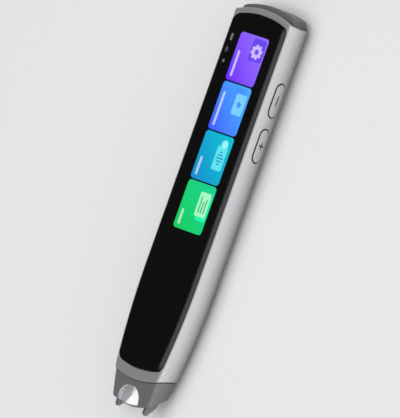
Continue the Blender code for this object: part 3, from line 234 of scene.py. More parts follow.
# Width of the dark rim painted round a key as shade from the gap round it
KEY_SHADED_RIM = 0.16
BOARD_GRID = 0.8
BLACK = (0.0, 0.0, 0.0, 1.0)


def srgb(red, green, blue):
    """Colour for a shader, from the levels of a screen, 0 to 255."""
    parts = []
    for level in (red / 255, green / 255, blue / 255):
        parts.append(level / 12.92 if level <= 0.04045 else ((level + 0.055) / 1.055) ** 2.4)
    return (*parts, 1.0)


class Value:
    """A number that changes over a surface. Arithmetic on it adds the Math nodes."""

    def __init__(self, finish, socket):
        self.finish = finish
        self.socket = socket

    def maths(self, operation, *others):
        sockets = dict(enumerate((self, *others)))
        return Value(self.finish, self.finish.output("ShaderNodeMath", {"operation": operation}, sockets))

    def __add__(self, other):
        return self.maths("ADD", other)

    def __sub__(self, other):
        return self.maths("SUBTRACT", other)

    def __rsub__(self, other):
        return self.maths("MULTIPLY_ADD", -1.0, other)

    def __mul__(self, other):
        return self.maths("MULTIPLY", other)

    def __truediv__(self, other):
        return self.maths("DIVIDE", other)

    def __rtruediv__(self, other):
        return self.maths("POWER", -1.0) * other

    __radd__ = __add__
    __rmul__ = __mul__

    def __abs__(self):
        return self.maths("ABSOLUTE")

    def above(self, floor):
        return self.maths("MAXIMUM", floor)

    def below(self, ceiling):
        return self.maths("MINIMUM", ceiling)

    def root(self):
        return self.maths("SQRT")

    def clamped(self):
        return self.above(0).below(1)

    def spread(self, low, high):
        """Range that a value from 0 to 1 covers."""
        return self * (high - low) + low

    def inside(self, soft):
        """Mask of where a distance is below nought, with a soft edge."""
        return (0.5 - self / soft).clamped()


class Nodes:
    """Nodes of one tree."""

    def __init__(self, tree):
        self.tree = tree

    def node(self, kind, settings=None, sockets=None):
        """Add a node: its settings first, then the values or links of its sockets."""
        node = self.tree.nodes.new(kind)
        for name, value in (settings or {}).items():
            setattr(node, name, value)
        for name, value in (sockets or {}).items():
            self.feed(node.inputs[name], value)
        return node

    def output(self, kind, settings=None, sockets=None, name=0):
        """Add a node and give one of its outputs."""
        return self.node(kind, settings, sockets).outputs[name]

    def feed(self, socket, value):
        """Give a socket a number, a colour or a link."""
        value = value.socket if isinstance(value, Value) else value
        if isinstance(value, bpy.types.NodeSocket):
            self.tree.links.new(value, socket)
        else:
            socket.default_value = value


class Finish(Nodes):
    """A material drawn by nodes, placed in millimetres."""

    def __init__(self, name, constants):
        self.material = bpy.data.materials.new(name)
        self.material.use_nodes = True
        super().__init__(self.material.node_tree)
        self.shader = self.tree.nodes["Principled BSDF"]
        for socket, value in constants.items():
            self.shade(socket, value)
        place = self.output("ShaderNodeTexCoord", name="Object")
        scaled = {"Vector": place, "Scale": 1000.0}
        self.place = self.output("ShaderNodeVectorMath", {"operation": "SCALE"}, scaled)
        split = self.node("ShaderNodeSeparateXYZ", None, {"Vector": self.place})
        self.x, self.y, self.z = (Value(self, socket) for socket in split.outputs)

    def shade(self, socket, value):
        """Feed one of the shader's sockets."""
        self.feed(self.shader.inputs[socket], value)

    def mix(self, share, low, high):
        """Colour between two, by a share."""
        return self.output("ShaderNodeMix", {"data_type": "RGBA"}, {0: share, 6: low, 7: high}, 2)

    def noise(self, size, detail=2.0, stretch=(1, 1, 1)):
        """Noise from 0 to 1 with a grain of that size, stretched along the axes."""
        scale = tuple(1 / (size * share) for share in stretch)
        place = self.output("ShaderNodeVectorMath", {"operation": "MULTIPLY"}, {0: self.place, 1: scale})
        sockets = {"Vector": place, "Scale": 1.0, "Detail": detail}
        return Value(self, self.output("ShaderNodeTexNoise", None, sockets, "Fac"))

    def painted_back_shade(self, colour, share):
        """Painted shade: colour darkened by a share from the middle of the sides down to the back."""
        depth = ((PAINTED_SHADE_START_Z - self.z) / PAINTED_SHADE_REACH).clamped() * share
        return self.mix(depth, colour, BLACK)

    def surface(self, colour, roughness, height, distance, strength):
        """Colour, gloss and a relief as deep as the distance, in metres."""
        sockets = {"Height": height, "Distance": distance, "Strength": strength}
        self.shade("Base Color", colour)
        self.shade("Roughness", roughness)
        self.shade("Normal", self.output("ShaderNodeBump", None, sockets, "Normal"))
        return self

    def bar(self, u, v, half_u, half_v, corner, soft):
        """Mask of a rounded rectangle round the place where U and V are nought."""
        across = (abs(u) - (half_u - corner)).above(0)
        along = (abs(v) - (half_v - corner)).above(0)
        return ((across * across + along * along).root() - corner).inside(soft)

    def disc(self, u, v, radius, soft):
        """Mask of a disc round the place where U and V are nought."""
        return ((u * u + v * v).root() - radius).inside(soft)

    def petals(self, u, v, radius, depth, count, soft):
        """Mask of a disc whose rim rises and falls as it goes round."""
        wave = (u.maths("ARCTAN2", v) * count).maths("SINE") * depth
        return ((u * u + v * v).root() - radius - wave).inside(soft)


# Shapes


def spaced(start, end, steps):
    """Evenly spaced numbers from a start to an end."""
    return [start + (end - start) * step / steps for step in range(steps + 1)]


def rounding(size):
    """How far in and how far down each step of a rounded edge lies, from face to side."""
    turns = spaced(0, pi / 2, EDGE_STEPS)
    return [(size * (1 - sin(turn)), size * (1 - cos(turn))) for turn in turns]


def both_sides(right):
    """Whole outline or ring from its right half."""
    return right + [(-x, *rest) for x, *rest in right[-2:0:-1]]


def half_width(y):
    """Half the sleeve's width: full above the taper, then drawn in along a large arc."""
    below = max(TAPER_START - y, 0)
    return WIDTH / 2 - TAPER_ARC + sqrt(TAPER_ARC ** 2 - below ** 2)


def arc_drop(arc, x):
    """How far an arc falls away from its apex at a place across it."""
    return arc - sqrt(arc ** 2 - x ** 2)


def sleeve_mouth(x):
    """Upper end of the sleeve."""
    return SLEEVE_TOP - arc_drop(TOP_ARC, x)


def sleeve_end(x, z):
    """Lower end of the sleeve, cut at a slant."""
    return SLEEVE_END + END_SLANT_SHARE * (THICKNESS - z) + arc_drop(END_ARC, x)


def nose_front(y):
    """Front face of the nose, which leans back towards the tip."""
    return NOSE_LIP_FRONT + NOSE_LEAN_SHARE * (y - NOSE_END)


def nose_lip(x, z):
    """Open end of the nose, slanted away behind."""
    return NOSE_END + NOSE_SLANT_SHARE * (NOSE_LIP_FRONT - z) + arc_drop(NOSE_RIM_ARC, x)


def section(inset, front_radius):
    """Right half of a section of the body, from the middle of its back to the middle of its front.

    Each point has the share of the half-width that it takes, how far it sits in from there, its height,
    and whether that height counts from the front face."""
    back = BACK_RADIUS - inset
    side = SIDE_RADIUS - inset
    back_in = side - (side - back) * cos(SIDE_TURN)
    side_z = inset + back + (side - back) * sin(SIDE_TURN)
    points = [(share, share * back_in, inset, False) for share in spaced(0, 1, FLAT_STEPS)[:-1]]
    for angle in spaced(-pi / 2, -SIDE_TURN, BACK_STEPS):
        points.append((1, back_in - back * cos(angle), inset + back + back * sin(angle), False))
    for angle in spaced(-SIDE_TURN, 0, SIDE_STEPS)[1:]:
        points.append((1, side - side * cos(angle), side_z + side * sin(angle), False))
    for angle in spaced(0, pi / 2, FRONT_STEPS):
        points.append((1, front_radius * (1 - cos(angle)), front_radius * (sin(angle) - 1), True))
    return points + [(share, share * front_radius, 0, True) for share in spaced(1, 0, FLAT_STEPS)[1:]]


def ring(inset, front_radius, front, height, side_inset=None):
    """Ring round the body at an inset, with a front face at front(y) and points at height(x, z).

    Its sides may have an inset of their own."""
    side_inset = inset if side_inset is None else side_inset
    right = []
    for share, inward, rise, from_front in section(inset, front_radius):
        y = height(0, rise)
        for _ in range(SETTLE_STEPS):
            x = share * (half_width(y) - side_inset) - inward
            z = front(y) + rise if from_front else rise
            y = height(x, z)
        right.append((x, y, z))
    return both_sides(right)


def side_x(z, proud=0.0):
    """How far out the sleeve's straight side lies at a height, drawn out by a distance."""
    centre_z = BACK_RADIUS + (SIDE_RADIUS - BACK_RADIUS) * sin(SIDE_TURN)
    radius = SIDE_RADIUS + proud
    below = max(centre_z - z, 0)
    return WIDTH / 2 - SIDE_RADIUS + sqrt(radius ** 2 - below ** 2)


def drawn_in(outline, margin):
    """Outline moved inwards point by point."""
    area = sum(outline[index - 1][0] * v - u * outline[index - 1][1] for index, (u, v) in enumerate(outline))
    moved = []
    for index, (u, v) in enumerate(outline):
        ahead = outline[(index + 1) % len(outline)]
        behind = outline[index - 1]
        along = (Vector(ahead) - Vector(behind)).normalized() * copysign(margin, -area)
        moved.append((u + along.y, v - along.x))
    return moved


def rounded(corners, radius):
    """Outline of a polygon with rounded corners; radius is one value or one a corner."""
    radii = radius if isinstance(radius, (list, tuple)) else [radius] * len(corners)
    outline = []
    for index, (point, size) in enumerate(zip(corners, radii)):
        if size == 0:
            outline.append(point)
            continue
        corner = Vector(point)
        back = (Vector(corners[index - 1]) - corner).normalized()
        ahead = (Vector(corners[(index + 1) % len(corners)]) - corner).normalized()
        half_angle = back.angle(ahead) / 2
        centre = corner + (back + ahead).normalized() * (size / sin(half_angle))
        start = corner + back * (size / tan(half_angle)) - centre
        end = corner + ahead * (size / tan(half_angle)) - centre
        for angle in spaced(0, -start.angle_signed(end), ROUND_STEPS):
            spoke = start.copy()
            spoke.rotate(Matrix.Rotation(angle, 2))
            outline.append(tuple(centre + spoke))
    return outline


def rectangle(left, low, right, high):
    """Corners of a rectangle between two places in U and two in V."""
    return [(left, low), (right, low), (right, high), (left, high)]


def pill(centre, half_u, half_v):
    """Outline with round ends that is long in U."""
    u, v = centre
    outline = []
    for side in (1, -1):
        middle = u + side * (half_u - half_v)
        for angle in spaced(-side * pi / 2, pi - side * pi / 2, 2 * ROUND_STEPS):
            outline.append((middle + half_v * cos(angle), v + half_v * sin(angle)))
    return outline


def end_outline(inset, apex, arc, corner, direction):
    """Right half of an end in plan, from its apex to the body's side."""
    centre = apex - direction * arc
    rise = 0.0
    step = arc
    for _ in range(HALVINGS):
        step /= 2
        across = half_width(centre + direction * (rise + step)) - inset - corner
        if hypot(across, rise + step) < arc - corner:
            rise += step
    centre_y = centre + direction * rise
    across = half_width(centre_y) - inset - corner
    sweep = atan2(across, rise)
    points = []
    for angle in spaced(0, sweep, ARC_STEPS // 2):
        points.append((arc * sin(angle), centre + direction * arc * cos(angle)))
    for angle in spaced(sweep, pi / 2, ROUND_STEPS)[1:]:
        points.append((across + corner * sin(angle), centre_y + direction * corner * cos(angle)))
    return points


def glass_outline(margin):
    """Outline of the cover glass in plan, drawn in by a margin."""
    inset = GLASS_INSET + margin
    top = SLEEVE_TOP - GLASS_TOP_MARGIN - margin
    end = SLEEVE_END + GLASS_END_MARGIN + margin
    upper = end_outline(inset, top, TOP_ARC - margin, GLASS_TOP_CORNER - margin, 1)
    lower = end_outline(inset, end, GLASS_END_ARC - margin, GLASS_END_CORNER - margin, -1)
    sides = [(half_width(y) - inset, y) for y in spaced(upper[-1][1], lower[-1][1], ARC_STEPS)[1:-1]]
    return both_sides(upper + sides + lower[::-1])


def arch_outline(margin):
    """Front arch of the nose in plan, drawn in by a margin: a half round over a curved sill."""
    radius = ARCH_WIDTH / 2 - margin
    top = SLEEVE_END - ARCH_DROP - margin
    outline = []
    for x in spaced(-radius, radius, ARC_STEPS):
        sill = NOSE_END + ARCH_SILL + margin + arc_drop(NOSE_RIM_ARC - ARCH_SILL, x)
        outline.append((x - ARCH_OFFSET, sill))
    for angle in spaced(0, pi, ARC_STEPS):
        outline.append((radius * cos(angle) - ARCH_OFFSET, top - radius + radius * sin(angle)))
    return outline


# Meshes


def placed(name, data):
    """Object in the scene, of a mesh, a light or a camera."""
    obj = bpy.data.objects.new(name, data)
    bpy.context.scene.collection.objects.link(obj)
    return obj


def add_piece(name, shape=None):
    """Object at the origin, from a bmesh that is used up."""
    mesh = bpy.data.meshes.new(name)
    if shape:
        shape.to_mesh(mesh)
        shape.free()
    return placed(name, mesh)


def loft(name, rings, looped=False):
    """Closed body through rings of points; a looped one is a tube that meets itself."""
    shape = bmesh.new()
    loops = [[shape.verts.new(point) for point in points] for points in rings]
    pairs = list(zip(loops, loops[1:]))
    if looped:
        pairs.append((loops[-1], loops[0]))
    for points, following in pairs:
        for index, vertex in enumerate(points):
            other = (index + 1) % len(points)
            shape.faces.new((vertex, points[other], following[other], following[index]))
    if not looped:
        shape.faces.new(loops[0])
        shape.faces.new(loops[-1])
    bmesh.ops.remove_doubles(shape, verts=shape.verts, dist=WELD)
    bmesh.ops.dissolve_degenerate(shape, edges=shape.edges, dist=WELD)
    bmesh.ops.recalc_face_normals(shape, faces=shape.faces)
    if shape.calc_volume(signed=True) < 0:
        bmesh.ops.reverse_faces(shape, faces=shape.faces)
    return add_piece(name, shape)


def pillow(name, outline, low, high, edge, place):
    """Body with rounded edges; place puts U, V and height into the pen."""
    lower = []
    upper = []
    for inset, drop in rounding(edge):
        inner = drawn_in(outline, inset)
        lower.append([place(u, v, low + drop) for u, v in inner])
        upper.append([place(u, v, high - drop) for u, v in inner])
    return loft(name, lower + upper[::-1])


def flared(name, outline_out, place, deep):
    """Cutter of an opening whose rim is broken; place puts U, V and depth into the pen."""
    levels = ((deep, 0.0),) + FLARE
    return loft(name, [[place(u, v, depth) for u, v in outline_out(out)] for depth, out in levels])


def shaped(target, tools, operation="DIFFERENCE"):
    """Shape a piece by others, which are used up."""
    for tool in tools:
        modifier = target.modifiers.new(tool.name, "BOOLEAN")
        modifier.operation = operation
        modifier.solver = "EXACT"
        modifier.object = tool
    return settled(target, tools)


def settled(target, tools=()):
    """Turn a piece and its modifiers into a plain mesh."""
    bpy.context.view_layer.update()
    mesh = bpy.data.meshes.new_from_object(target.evaluated_get(bpy.context.evaluated_depsgraph_get()))
    target.modifiers.clear()
    plain = target.data
    target.data = mesh
    bpy.data.meshes.remove(plain)
    for tool in tools:
        bpy.data.objects.remove(tool)
    return target


def dressed(obj, finish, body, node):
    """Finish a piece, smooth its rounds, and let it stand for its solid on its body."""
    obj.data.materials.clear()
    obj.data.materials.append(finish.material)
    obj.data.shade_smooth()
    obj.data.set_sharp_from_angle(angle=SHARP_ANGLE)
    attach(obj, body)
    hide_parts(node)
    return obj


# Finishes

def satin_metal(name, colour, roughness, back_shade_share=0.0):
    """Bead-blasted, anodised metal: a very fine grain, faint handling marks, and a share of painted shade
    towards the back.
    """
    finish = Finish(name, {"Metallic": 1.0})
    grain = finish.noise(METAL_GRAIN)
    cloud = finish.noise(9.0, 3.0, (1, 2.5, 1))
    tone = grain.spread(0.94, 1.05) * cloud.spread(0.97, 1.03)
    toned = finish.mix(tone - 0.5, BLACK, tuple(2 * part for part in srgb(*colour)[:3]) + (1,))
    gloss = cloud.spread(roughness - 0.03, roughness + 0.04) + grain * 0.03
    return finish.surface(finish.painted_back_shade(toned, back_shade_share), gloss, grain, 0.000004, 0.6)


def key_metal(key):
    """The sleeve's metal on a key, with its mark engraved: a minus, or a plus; painted shade darkens a rim
    round the key and the metal towards the back.
    """
    finish = Finish(key + "_key_metal", {"Metallic": 1.0})
    plus = key == "plus"
    grain = finish.noise(METAL_GRAIN)
    along = finish.y - KEY_YS[key] * 1000
    across = finish.z - KEY_Z * 1000
    size = (KEY_MARK_HALF_WIDTH, KEY_MARK_SOFT)
    mark = finish.bar(along, across, 1.3 if plus else 1.9, KEY_MARK_HALF_WIDTH, *size)
    if plus:
        mark = mark.above(finish.bar(along, across, KEY_MARK_HALF_WIDTH, 1.3, *size))
    mark = mark * ((finish.x - (WIDTH / 2 * 1000 - 0.6)) / 0.1).clamped()
    # Painted shade: a dark grey rim round the key, wider on its front side, stands for the shaded gap round
    # it
    half_v = KEY_WIDTH * 500 - KEY_SHADED_RIM
    face = finish.bar(along, across + 0.12, KEY_LENGTH * 500 - KEY_SHADED_RIM, half_v, half_v, 0.2)
    metal = finish.painted_back_shade(finish.mix(grain, srgb(220, 221, 223), srgb(230, 231, 233)), METAL_PAINTED_SHADE)
    metal = finish.mix(face, srgb(84, 84, 87), metal)
    metal = finish.mix(mark, metal, srgb(62, 62, 64))
    return finish.surface(metal, grain.spread(0.33, 0.40) + mark * 0.2, grain * 0.03 - mark, 0.00012, 0.7)


def moulded(name, low, high, roughness, flake=0.0, back_shade_share=0.0):
    """Moulded plastic with a fine spark-eroded grain, bare or with some metal flake, and a share of painted
    shade towards the back.
    """
    finish = Finish(name, {"Metallic": flake, "Specular IOR Level": 0.45})
    grain = finish.noise(0.18)
    cloud = finish.noise(4.0, 3.0)
    toned = finish.mix(cloud.spread(0.2, 0.8) * 0.7 + grain * 0.3, srgb(*low), srgb(*high))
    gloss = grain.spread(roughness - 0.06, roughness + 0.06)
    return finish.surface(finish.painted_back_shade(toned, back_shade_share), gloss, grain, 0.00002, 0.5)


def clear_plastic():
    """Clear plastic with a painted glow: faint all over and brighter on its right-hand side, as though the
    lamp behind it lit it.
    """
    finish = moulded("pane_clear", (250, 251, 252), (255, 255, 255), 0.10)
    for socket, value in {"Transmission Weight": 1.0, "IOR": 1.2, "Emission Strength": 0.6}.items():
        finish.shade(socket, value)
    # Painted light: the pane glows by itself, faintly all over and more towards its right-hand side
    painted_glow_side = (finish.x * 0.9 - finish.y * 0.45 - 31.2 + finish.noise(1.2) * 0.5).clamped()
    finish.shade("Emission Color", finish.mix(painted_glow_side, (0.18, 0.185, 0.19, 1), (0.46, 0.465, 0.47, 1)))
    return finish


def circuit_board(name):
    """Green solder mask with tracks under it and gilt pads on a fine grid."""
    finish = Finish(name, {})
    cloud = finish.noise(5.0)
    gate = finish.noise(2.4, 1.0)
    u, v = ((place / BOARD_GRID).maths("FRACT") - 0.5 for place in (finish.x, finish.y))
    long_tracks = ((0.14 - abs(u)) / 0.06).clamped() * ((gate - 0.48) / 0.03).clamped()
    cross_tracks = ((0.14 - abs(v)) / 0.06).clamped() * ((0.52 - gate) / 0.03).clamped()
    tracks = long_tracks.above(cross_tracks)
    pads = finish.disc(u, v, 0.24, 0.08) * ((finish.noise(1.6, 0.0) - 0.55) / 0.03).clamped()
    colour = finish.mix(cloud, srgb(20, 84, 56), srgb(32, 104, 70))
    colour = finish.mix(tracks * 0.7, colour, srgb(60, 136, 92))
    colour = finish.mix(pads, colour, srgb(206, 178, 108))
    gloss = cloud.spread(0.36, 0.48) - pads * 0.12
    return finish.surface(colour, gloss, tracks * 0.6 + pads * 0.4, 0.00003, 0.6)


def open_foam(name, low, high):
    """Soft foam, full of small open cells."""
    finish = Finish(name, {"Specular IOR Level": 0.2})
    cells = ((finish.noise(0.35, 1.0) - 0.35) / 0.3).clamped()
    cloud = finish.noise(3.0)
    colour = finish.mix(cells * 0.7 + cloud * 0.3, srgb(*low), srgb(*high))
    return finish.surface(colour, cloud.spread(0.86, 0.96), cells, 0.0001, 0.8)


def battery_foil(name):
    """Laminated foil of a pouch cell, with soft creases."""
    finish = Finish(name, {"Metallic": 0.85})
    creases = finish.noise(1.8, 3.0, (1, 4, 1))
    grain = finish.noise(0.15, 1.0)
    colour = finish.mix(creases * 0.6 + grain * 0.4, srgb(166, 167, 170), srgb(200, 201, 204))
    return finish.surface(colour, creases.spread(0.26, 0.42), creases, 0.00015, 0.5)


def coated_lens(name):
    """Dark glass with a violet and green coating that changes over its face."""
    finish = Finish(name, {"Specular IOR Level": 0.8})
    sweep = finish.noise(1.2, 1.0)
    colour = finish.mix(sweep, srgb(30, 16, 66), srgb(14, 52, 56))
    return finish.surface(colour, sweep.spread(0.04, 0.09), sweep, 0.000005, 0.2)


# Menu on the screen, in millimetres: four tiles, each with a sign and a bar for its name
TILE_PITCH = 18.35
TILE_HALF_LENGTH = 8.9
TILE_HALF_WIDTH = 6.95
TILE_CORNER = 1.3
TILE_TOP_Y = 63.7
SOFT = 0.12
LABEL_START = -7.4
LABEL_ACROSS = -4.9
LABEL_HALF_WIDTH = 0.5
MARKS_X = -10.6
CHARGE_Y = 60.7
WAVES_Y = 56.1
DOT_Y = 51.8
MARK_SOFT = 0.3

# Shapes in a tile, the lowest first: kind, place, sizes and softness, strength and colour
WHEEL_ON_SQUARE = (
    ("bar", 4.0, 3.2, (4.1, 3.2, 1.0, 0.4), 0.75, (88, 52, 232)),
    ("petals", 3.4, 3.0, (2.5, 0.3, 8, 0.24), 1, (204, 186, 255)),
    ("disc", 3.4, 3.0, (0.95, 0.24), 1, (112, 78, 240)),
)
TWO_CARDS = (
    ("bar", 4.6, 2.5, (3.4, 2.6, 0.6, 0.4), 0.6, (70, 132, 246)),
    ("bar", 2.2, 3.4, (3.8, 2.5, 0.7, 0.3), 1, (126, 206, 255)),
    ("petals", 2.2, 3.4, (0.95, 0.32, 5, 0.2), 1, (64, 140, 246)),
)
LEVELS = zip(spaced(-1.6, 2.8, 4), (0.6, 1.3, 1.8, 1.1, 0.5))
LEVELS_AND_BALL = (
    ("bar", 0.6, 3.2, (4.4, 2.4, 0.7, 0.3), 1, (98, 228, 238)),
    *(("bar", u, 3.2, (0.24, reach, 0.24, 0.2), 1, (22, 150, 196)) for u, reach in LEVELS),
    ("disc", 5.8, 3.6, (1.5, 0.3), 1, (150, 246, 250)),
)
PRINT = zip(spaced(1.95, 4.45, 2), (3.0, 2.2, 2.7))
PRINTED_PAGE = (
    ("bar", 0.3, 4.1, (4.6, 2.4, 0.6, 0.4), 1, (38, 244, 172)),
    ("bar", 1.6, 3.2, (4.4, 2.6, 0.6, 0.3), 1, (170, 248, 196)),
    *(("bar", reach - 1.6, v, (reach, 0.26, 0.26, 0.2), 1, (42, 176, 112)) for v, reach in PRINT),
)


def cover_glass():
    """Black-backed glass with the lit menu behind it and thin smears on it."""
    finish = Finish("cover_glass_black", {"Specular IOR Level": 0.08, "Emission Strength": 1.0})
    smear = finish.noise(6.0, 4.0, (1, 3, 1))
    # Painted reflection: a grey strip along the curved glass edge on the keys' side, where that edge mirrors
    # the bright surroundings
    edge_reflection_share = finish.output("ShaderNodeAttribute", {"attribute_name": "edge_reflection_share"}, name="Fac")
    tint = finish.mix(smear, srgb(7, 7, 8), srgb(11, 11, 12))
    finish.shade("Base Color", finish.mix(edge_reflection_share, tint, srgb(66, 66, 68)))
    finish.shade("Roughness", smear.spread(0.05, 0.12))
    picture = BLACK
    tiles = (
        ((112, 36, 250), (152, 118, 255), WHEEL_ON_SQUARE, 9.6),
        ((66, 84, 255), (72, 178, 252), TWO_CARDS, 12.6),
        ((16, 138, 208), (0, 196, 208), LEVELS_AND_BALL, 6.8),
        ((18, 205, 88), (20, 212, 146), PRINTED_PAGE, 5.6),
    )
    for index, (low, high, sign, label) in enumerate(tiles):
        along = finish.y - (TILE_TOP_Y - TILE_HALF_LENGTH - TILE_PITCH * index)
        across = finish.x
        slope = ((along / TILE_HALF_LENGTH + across / TILE_HALF_WIDTH) * 0.25 + 0.5).clamped()
        colour = finish.mix(slope, srgb(*low), srgb(*high))
        sizes = (label / 2, LABEL_HALF_WIDTH, LABEL_HALF_WIDTH, MARK_SOFT)
        name = ("bar", LABEL_START + label / 2, LABEL_ACROSS, sizes, 0.6, (236, 240, 255))
        for kind, u, v, sizes, strength, tone in (*sign, name):
            mask = getattr(finish, kind)(along - u, across - v, *sizes)
            colour = finish.mix(mask * strength, colour, srgb(*tone))
        tile = finish.bar(along, across, TILE_HALF_LENGTH, TILE_HALF_WIDTH, TILE_CORNER, SOFT)
        picture = finish.mix(tile, picture, colour)
    front = finish.z.maths("GREATER_THAN", (GLASS_TOP - 0.0001) * 1000)
    finish.shade("Emission Color", finish.mix(front, BLACK, status_marks(finish, picture)))
    return finish


def status_marks(finish, picture):
    """Small grey marks beside the tiles: a charge bar, a fan of two waves and a dot."""
    across = finish.x - MARKS_X
    grey = srgb(128, 128, 132)
    charge = finish.bar(finish.y - CHARGE_Y, across, 1.25, 0.5, 0.25, MARK_SOFT)
    picture = finish.mix(charge * 0.8, picture, grey)
    along = finish.y - WAVES_Y
    low = across - 0.75
    reach = (along * along + low * low).root()
    inner, outer = ((abs(reach - radius) - 0.16).inside(MARK_SOFT) for radius in (0.75, 1.45))
    fan = (low + abs(along)).inside(MARK_SOFT)
    picture = finish.mix(inner.above(outer) * fan * 0.7, picture, grey)
    dot = finish.disc(finish.y - DOT_Y, across, 0.6, MARK_SOFT)
    return finish.mix(dot * 0.6, picture, grey)


# Pieces


def make_sleeve(finish):
    """Metal sleeve: a tube, with its pocket, window, key slots and grille."""

    def skin(inset, height):
        return ring(inset, FRONT_RADIUS - inset, lambda y: THICKNESS - inset, height)

    def part_way(share):
        return lambda x, z: sleeve_mouth(x) + (sleeve_end(x, z) - sleeve_mouth(x)) * share

    shares = [FIRST_SHARE] + spaced(0, STRAIGHT_SHARE, STRAIGHT_STEPS)[1:-1]
    shares += spaced(STRAIGHT_SHARE, LAST_SHARE, TAPER_STEPS)
    edge = rounding(MOUTH_EDGE)
    rings = [skin(inset, lambda x, z: sleeve_mouth(x) - drop) for inset, drop in edge]
    rings += [skin(0, part_way(share)) for share in shares]
    rings += [skin(inset, lambda x, z: sleeve_end(x, z) + drop) for inset, drop in reversed(edge)]
    for share in [1.0] + shares[::-1] + [0.0]:
        rings.append(ring(WALL, CAVITY_FRONT_RADIUS, lambda y: CAVITY_TOP, part_way(share)))

    opening = rectangle(
        -DISPLAY_HALF_WIDTH - GAP, DISPLAY_END - GAP, DISPLAY_HALF_WIDTH + GAP, DISPLAY_TOP + GAP
    )
    tools = [
        flared(
            "pocket",
            lambda out: glass_outline(-THIN_GAP - out),
            lambda u, v, depth: (u, v, THICKNESS - depth),
            THICKNESS - POCKET_FLOOR,
        ),
        loft("window", [[(u, v, z) for u, v in opening] for z in (CAVITY_TOP - WALL, POCKET_FLOOR + WALL)]),
    ]
    half_u = KEY_LENGTH / 2 + KEY_CLEARANCE
    half_v = KEY_WIDTH / 2 + KEY_CLEARANCE
    for name, y in KEY_YS.items():
        tools.append(flared(
            name + "_slot",
            lambda out: pill((y, KEY_Z), half_u + out, half_v + out),
            lambda u, v, depth: (side_x(v) - depth, u, v),
            2 * WALL,
        ))
    tools.append(grille_cutter(finish))
    sleeve = shaped(loft("body_sleeve_shell", rings, True), tools)
    dressed(sleeve, finish, "pen", "body_sleeve")


class Layout(Nodes):
    """A Geometry Nodes tree that lays out what repeats."""

    def __init__(self, name, inputs):
        super().__init__(bpy.data.node_groups.new(name, "GeometryNodeTree"))
        self.tree.interface.new_socket("Geometry", in_out="OUTPUT", socket_type="NodeSocketGeometry")
        self.values = {}
        for label, value in inputs.items():
            kind = "NodeSocketInt" if isinstance(value, int) else "NodeSocketFloat"
            socket = self.tree.interface.new_socket(label, in_out="INPUT", socket_type=kind)
            self.values[socket.identifier] = value
        self.given = self.node("NodeGroupInput").outputs

    def finished(self, geometry, material):
        """End the tree: everything real, in one material."""
        real = self.output("GeometryNodeRealizeInstances", None, {0: geometry})
        painted = self.output("GeometryNodeSetMaterial", None, {"Geometry": real, "Material": material})
        self.node("NodeGroupOutput", None, {0: painted})

    def built(self, name):
        """Plain mesh object of what the tree lays out."""
        obj = add_piece(name)
        modifier = obj.modifiers.new("layout", "NODES")
        modifier.node_group = self.tree
        for identifier, value in self.values.items():
            modifier[identifier] = value
        return settled(obj)


def grille_cutter(finish):
    """Rings of tapered pegs and one in their middle, for the speaker's holes."""
    inputs = {
        "Hole Radius": GRILLE_HOLE_RADIUS, "Ring Step": GRILLE_RING_STEP,
        "Inner Count": 8, "Outer Count": 16, "Rim": 0.35, "Depth": 0.0016,
    }
    layout = Layout("grille_holes", inputs)
    given = layout.given
    sockets = {"Vertices": 20, "Side Segments": 4, "Radius": given["Hole Radius"], "Depth": given["Depth"]}
    peg = layout.output("GeometryNodeMeshCylinder", None, sockets, "Mesh")
    place = layout.output("GeometryNodeInputPosition")
    height = Value(layout, layout.output("ShaderNodeSeparateXYZ", None, {0: place}, "Z"))
    widening = (height * -1.0).above(0.0) * given["Rim"] / given["Hole Radius"]
    flat = {0: place, 1: (1.0, 1.0, 0.0)}
    sideways = layout.output("ShaderNodeVectorMath", {"operation": "MULTIPLY"}, flat)
    shift = layout.output("ShaderNodeVectorMath", {"operation": "SCALE"}, {0: sideways, "Scale": widening})
    peg = layout.output("GeometryNodeSetPosition", None, {"Geometry": peg, "Offset": shift})
    joined = layout.node("GeometryNodeJoinGeometry", None, {0: peg})
    outer = Value(layout, given["Ring Step"]) * 2.0
    for count, radius in ((given["Inner Count"], given["Ring Step"]), (given["Outer Count"], outer)):
        points = layout.output("GeometryNodeMeshCircle", None, {"Vertices": count, "Radius": radius})
        pegs = layout.output("GeometryNodeInstanceOnPoints", None, {"Points": points, "Instance": peg})
        layout.feed(joined.inputs[0], pegs)
    sockets = {"Geometry": joined.outputs[0], "Translation": (0.0, GRILLE_Y, GRILLE_PEG_Z)}
    layout.finished(layout.output("GeometryNodeTransform", None, sockets), finish.material)
    return layout.built("grille_pegs")


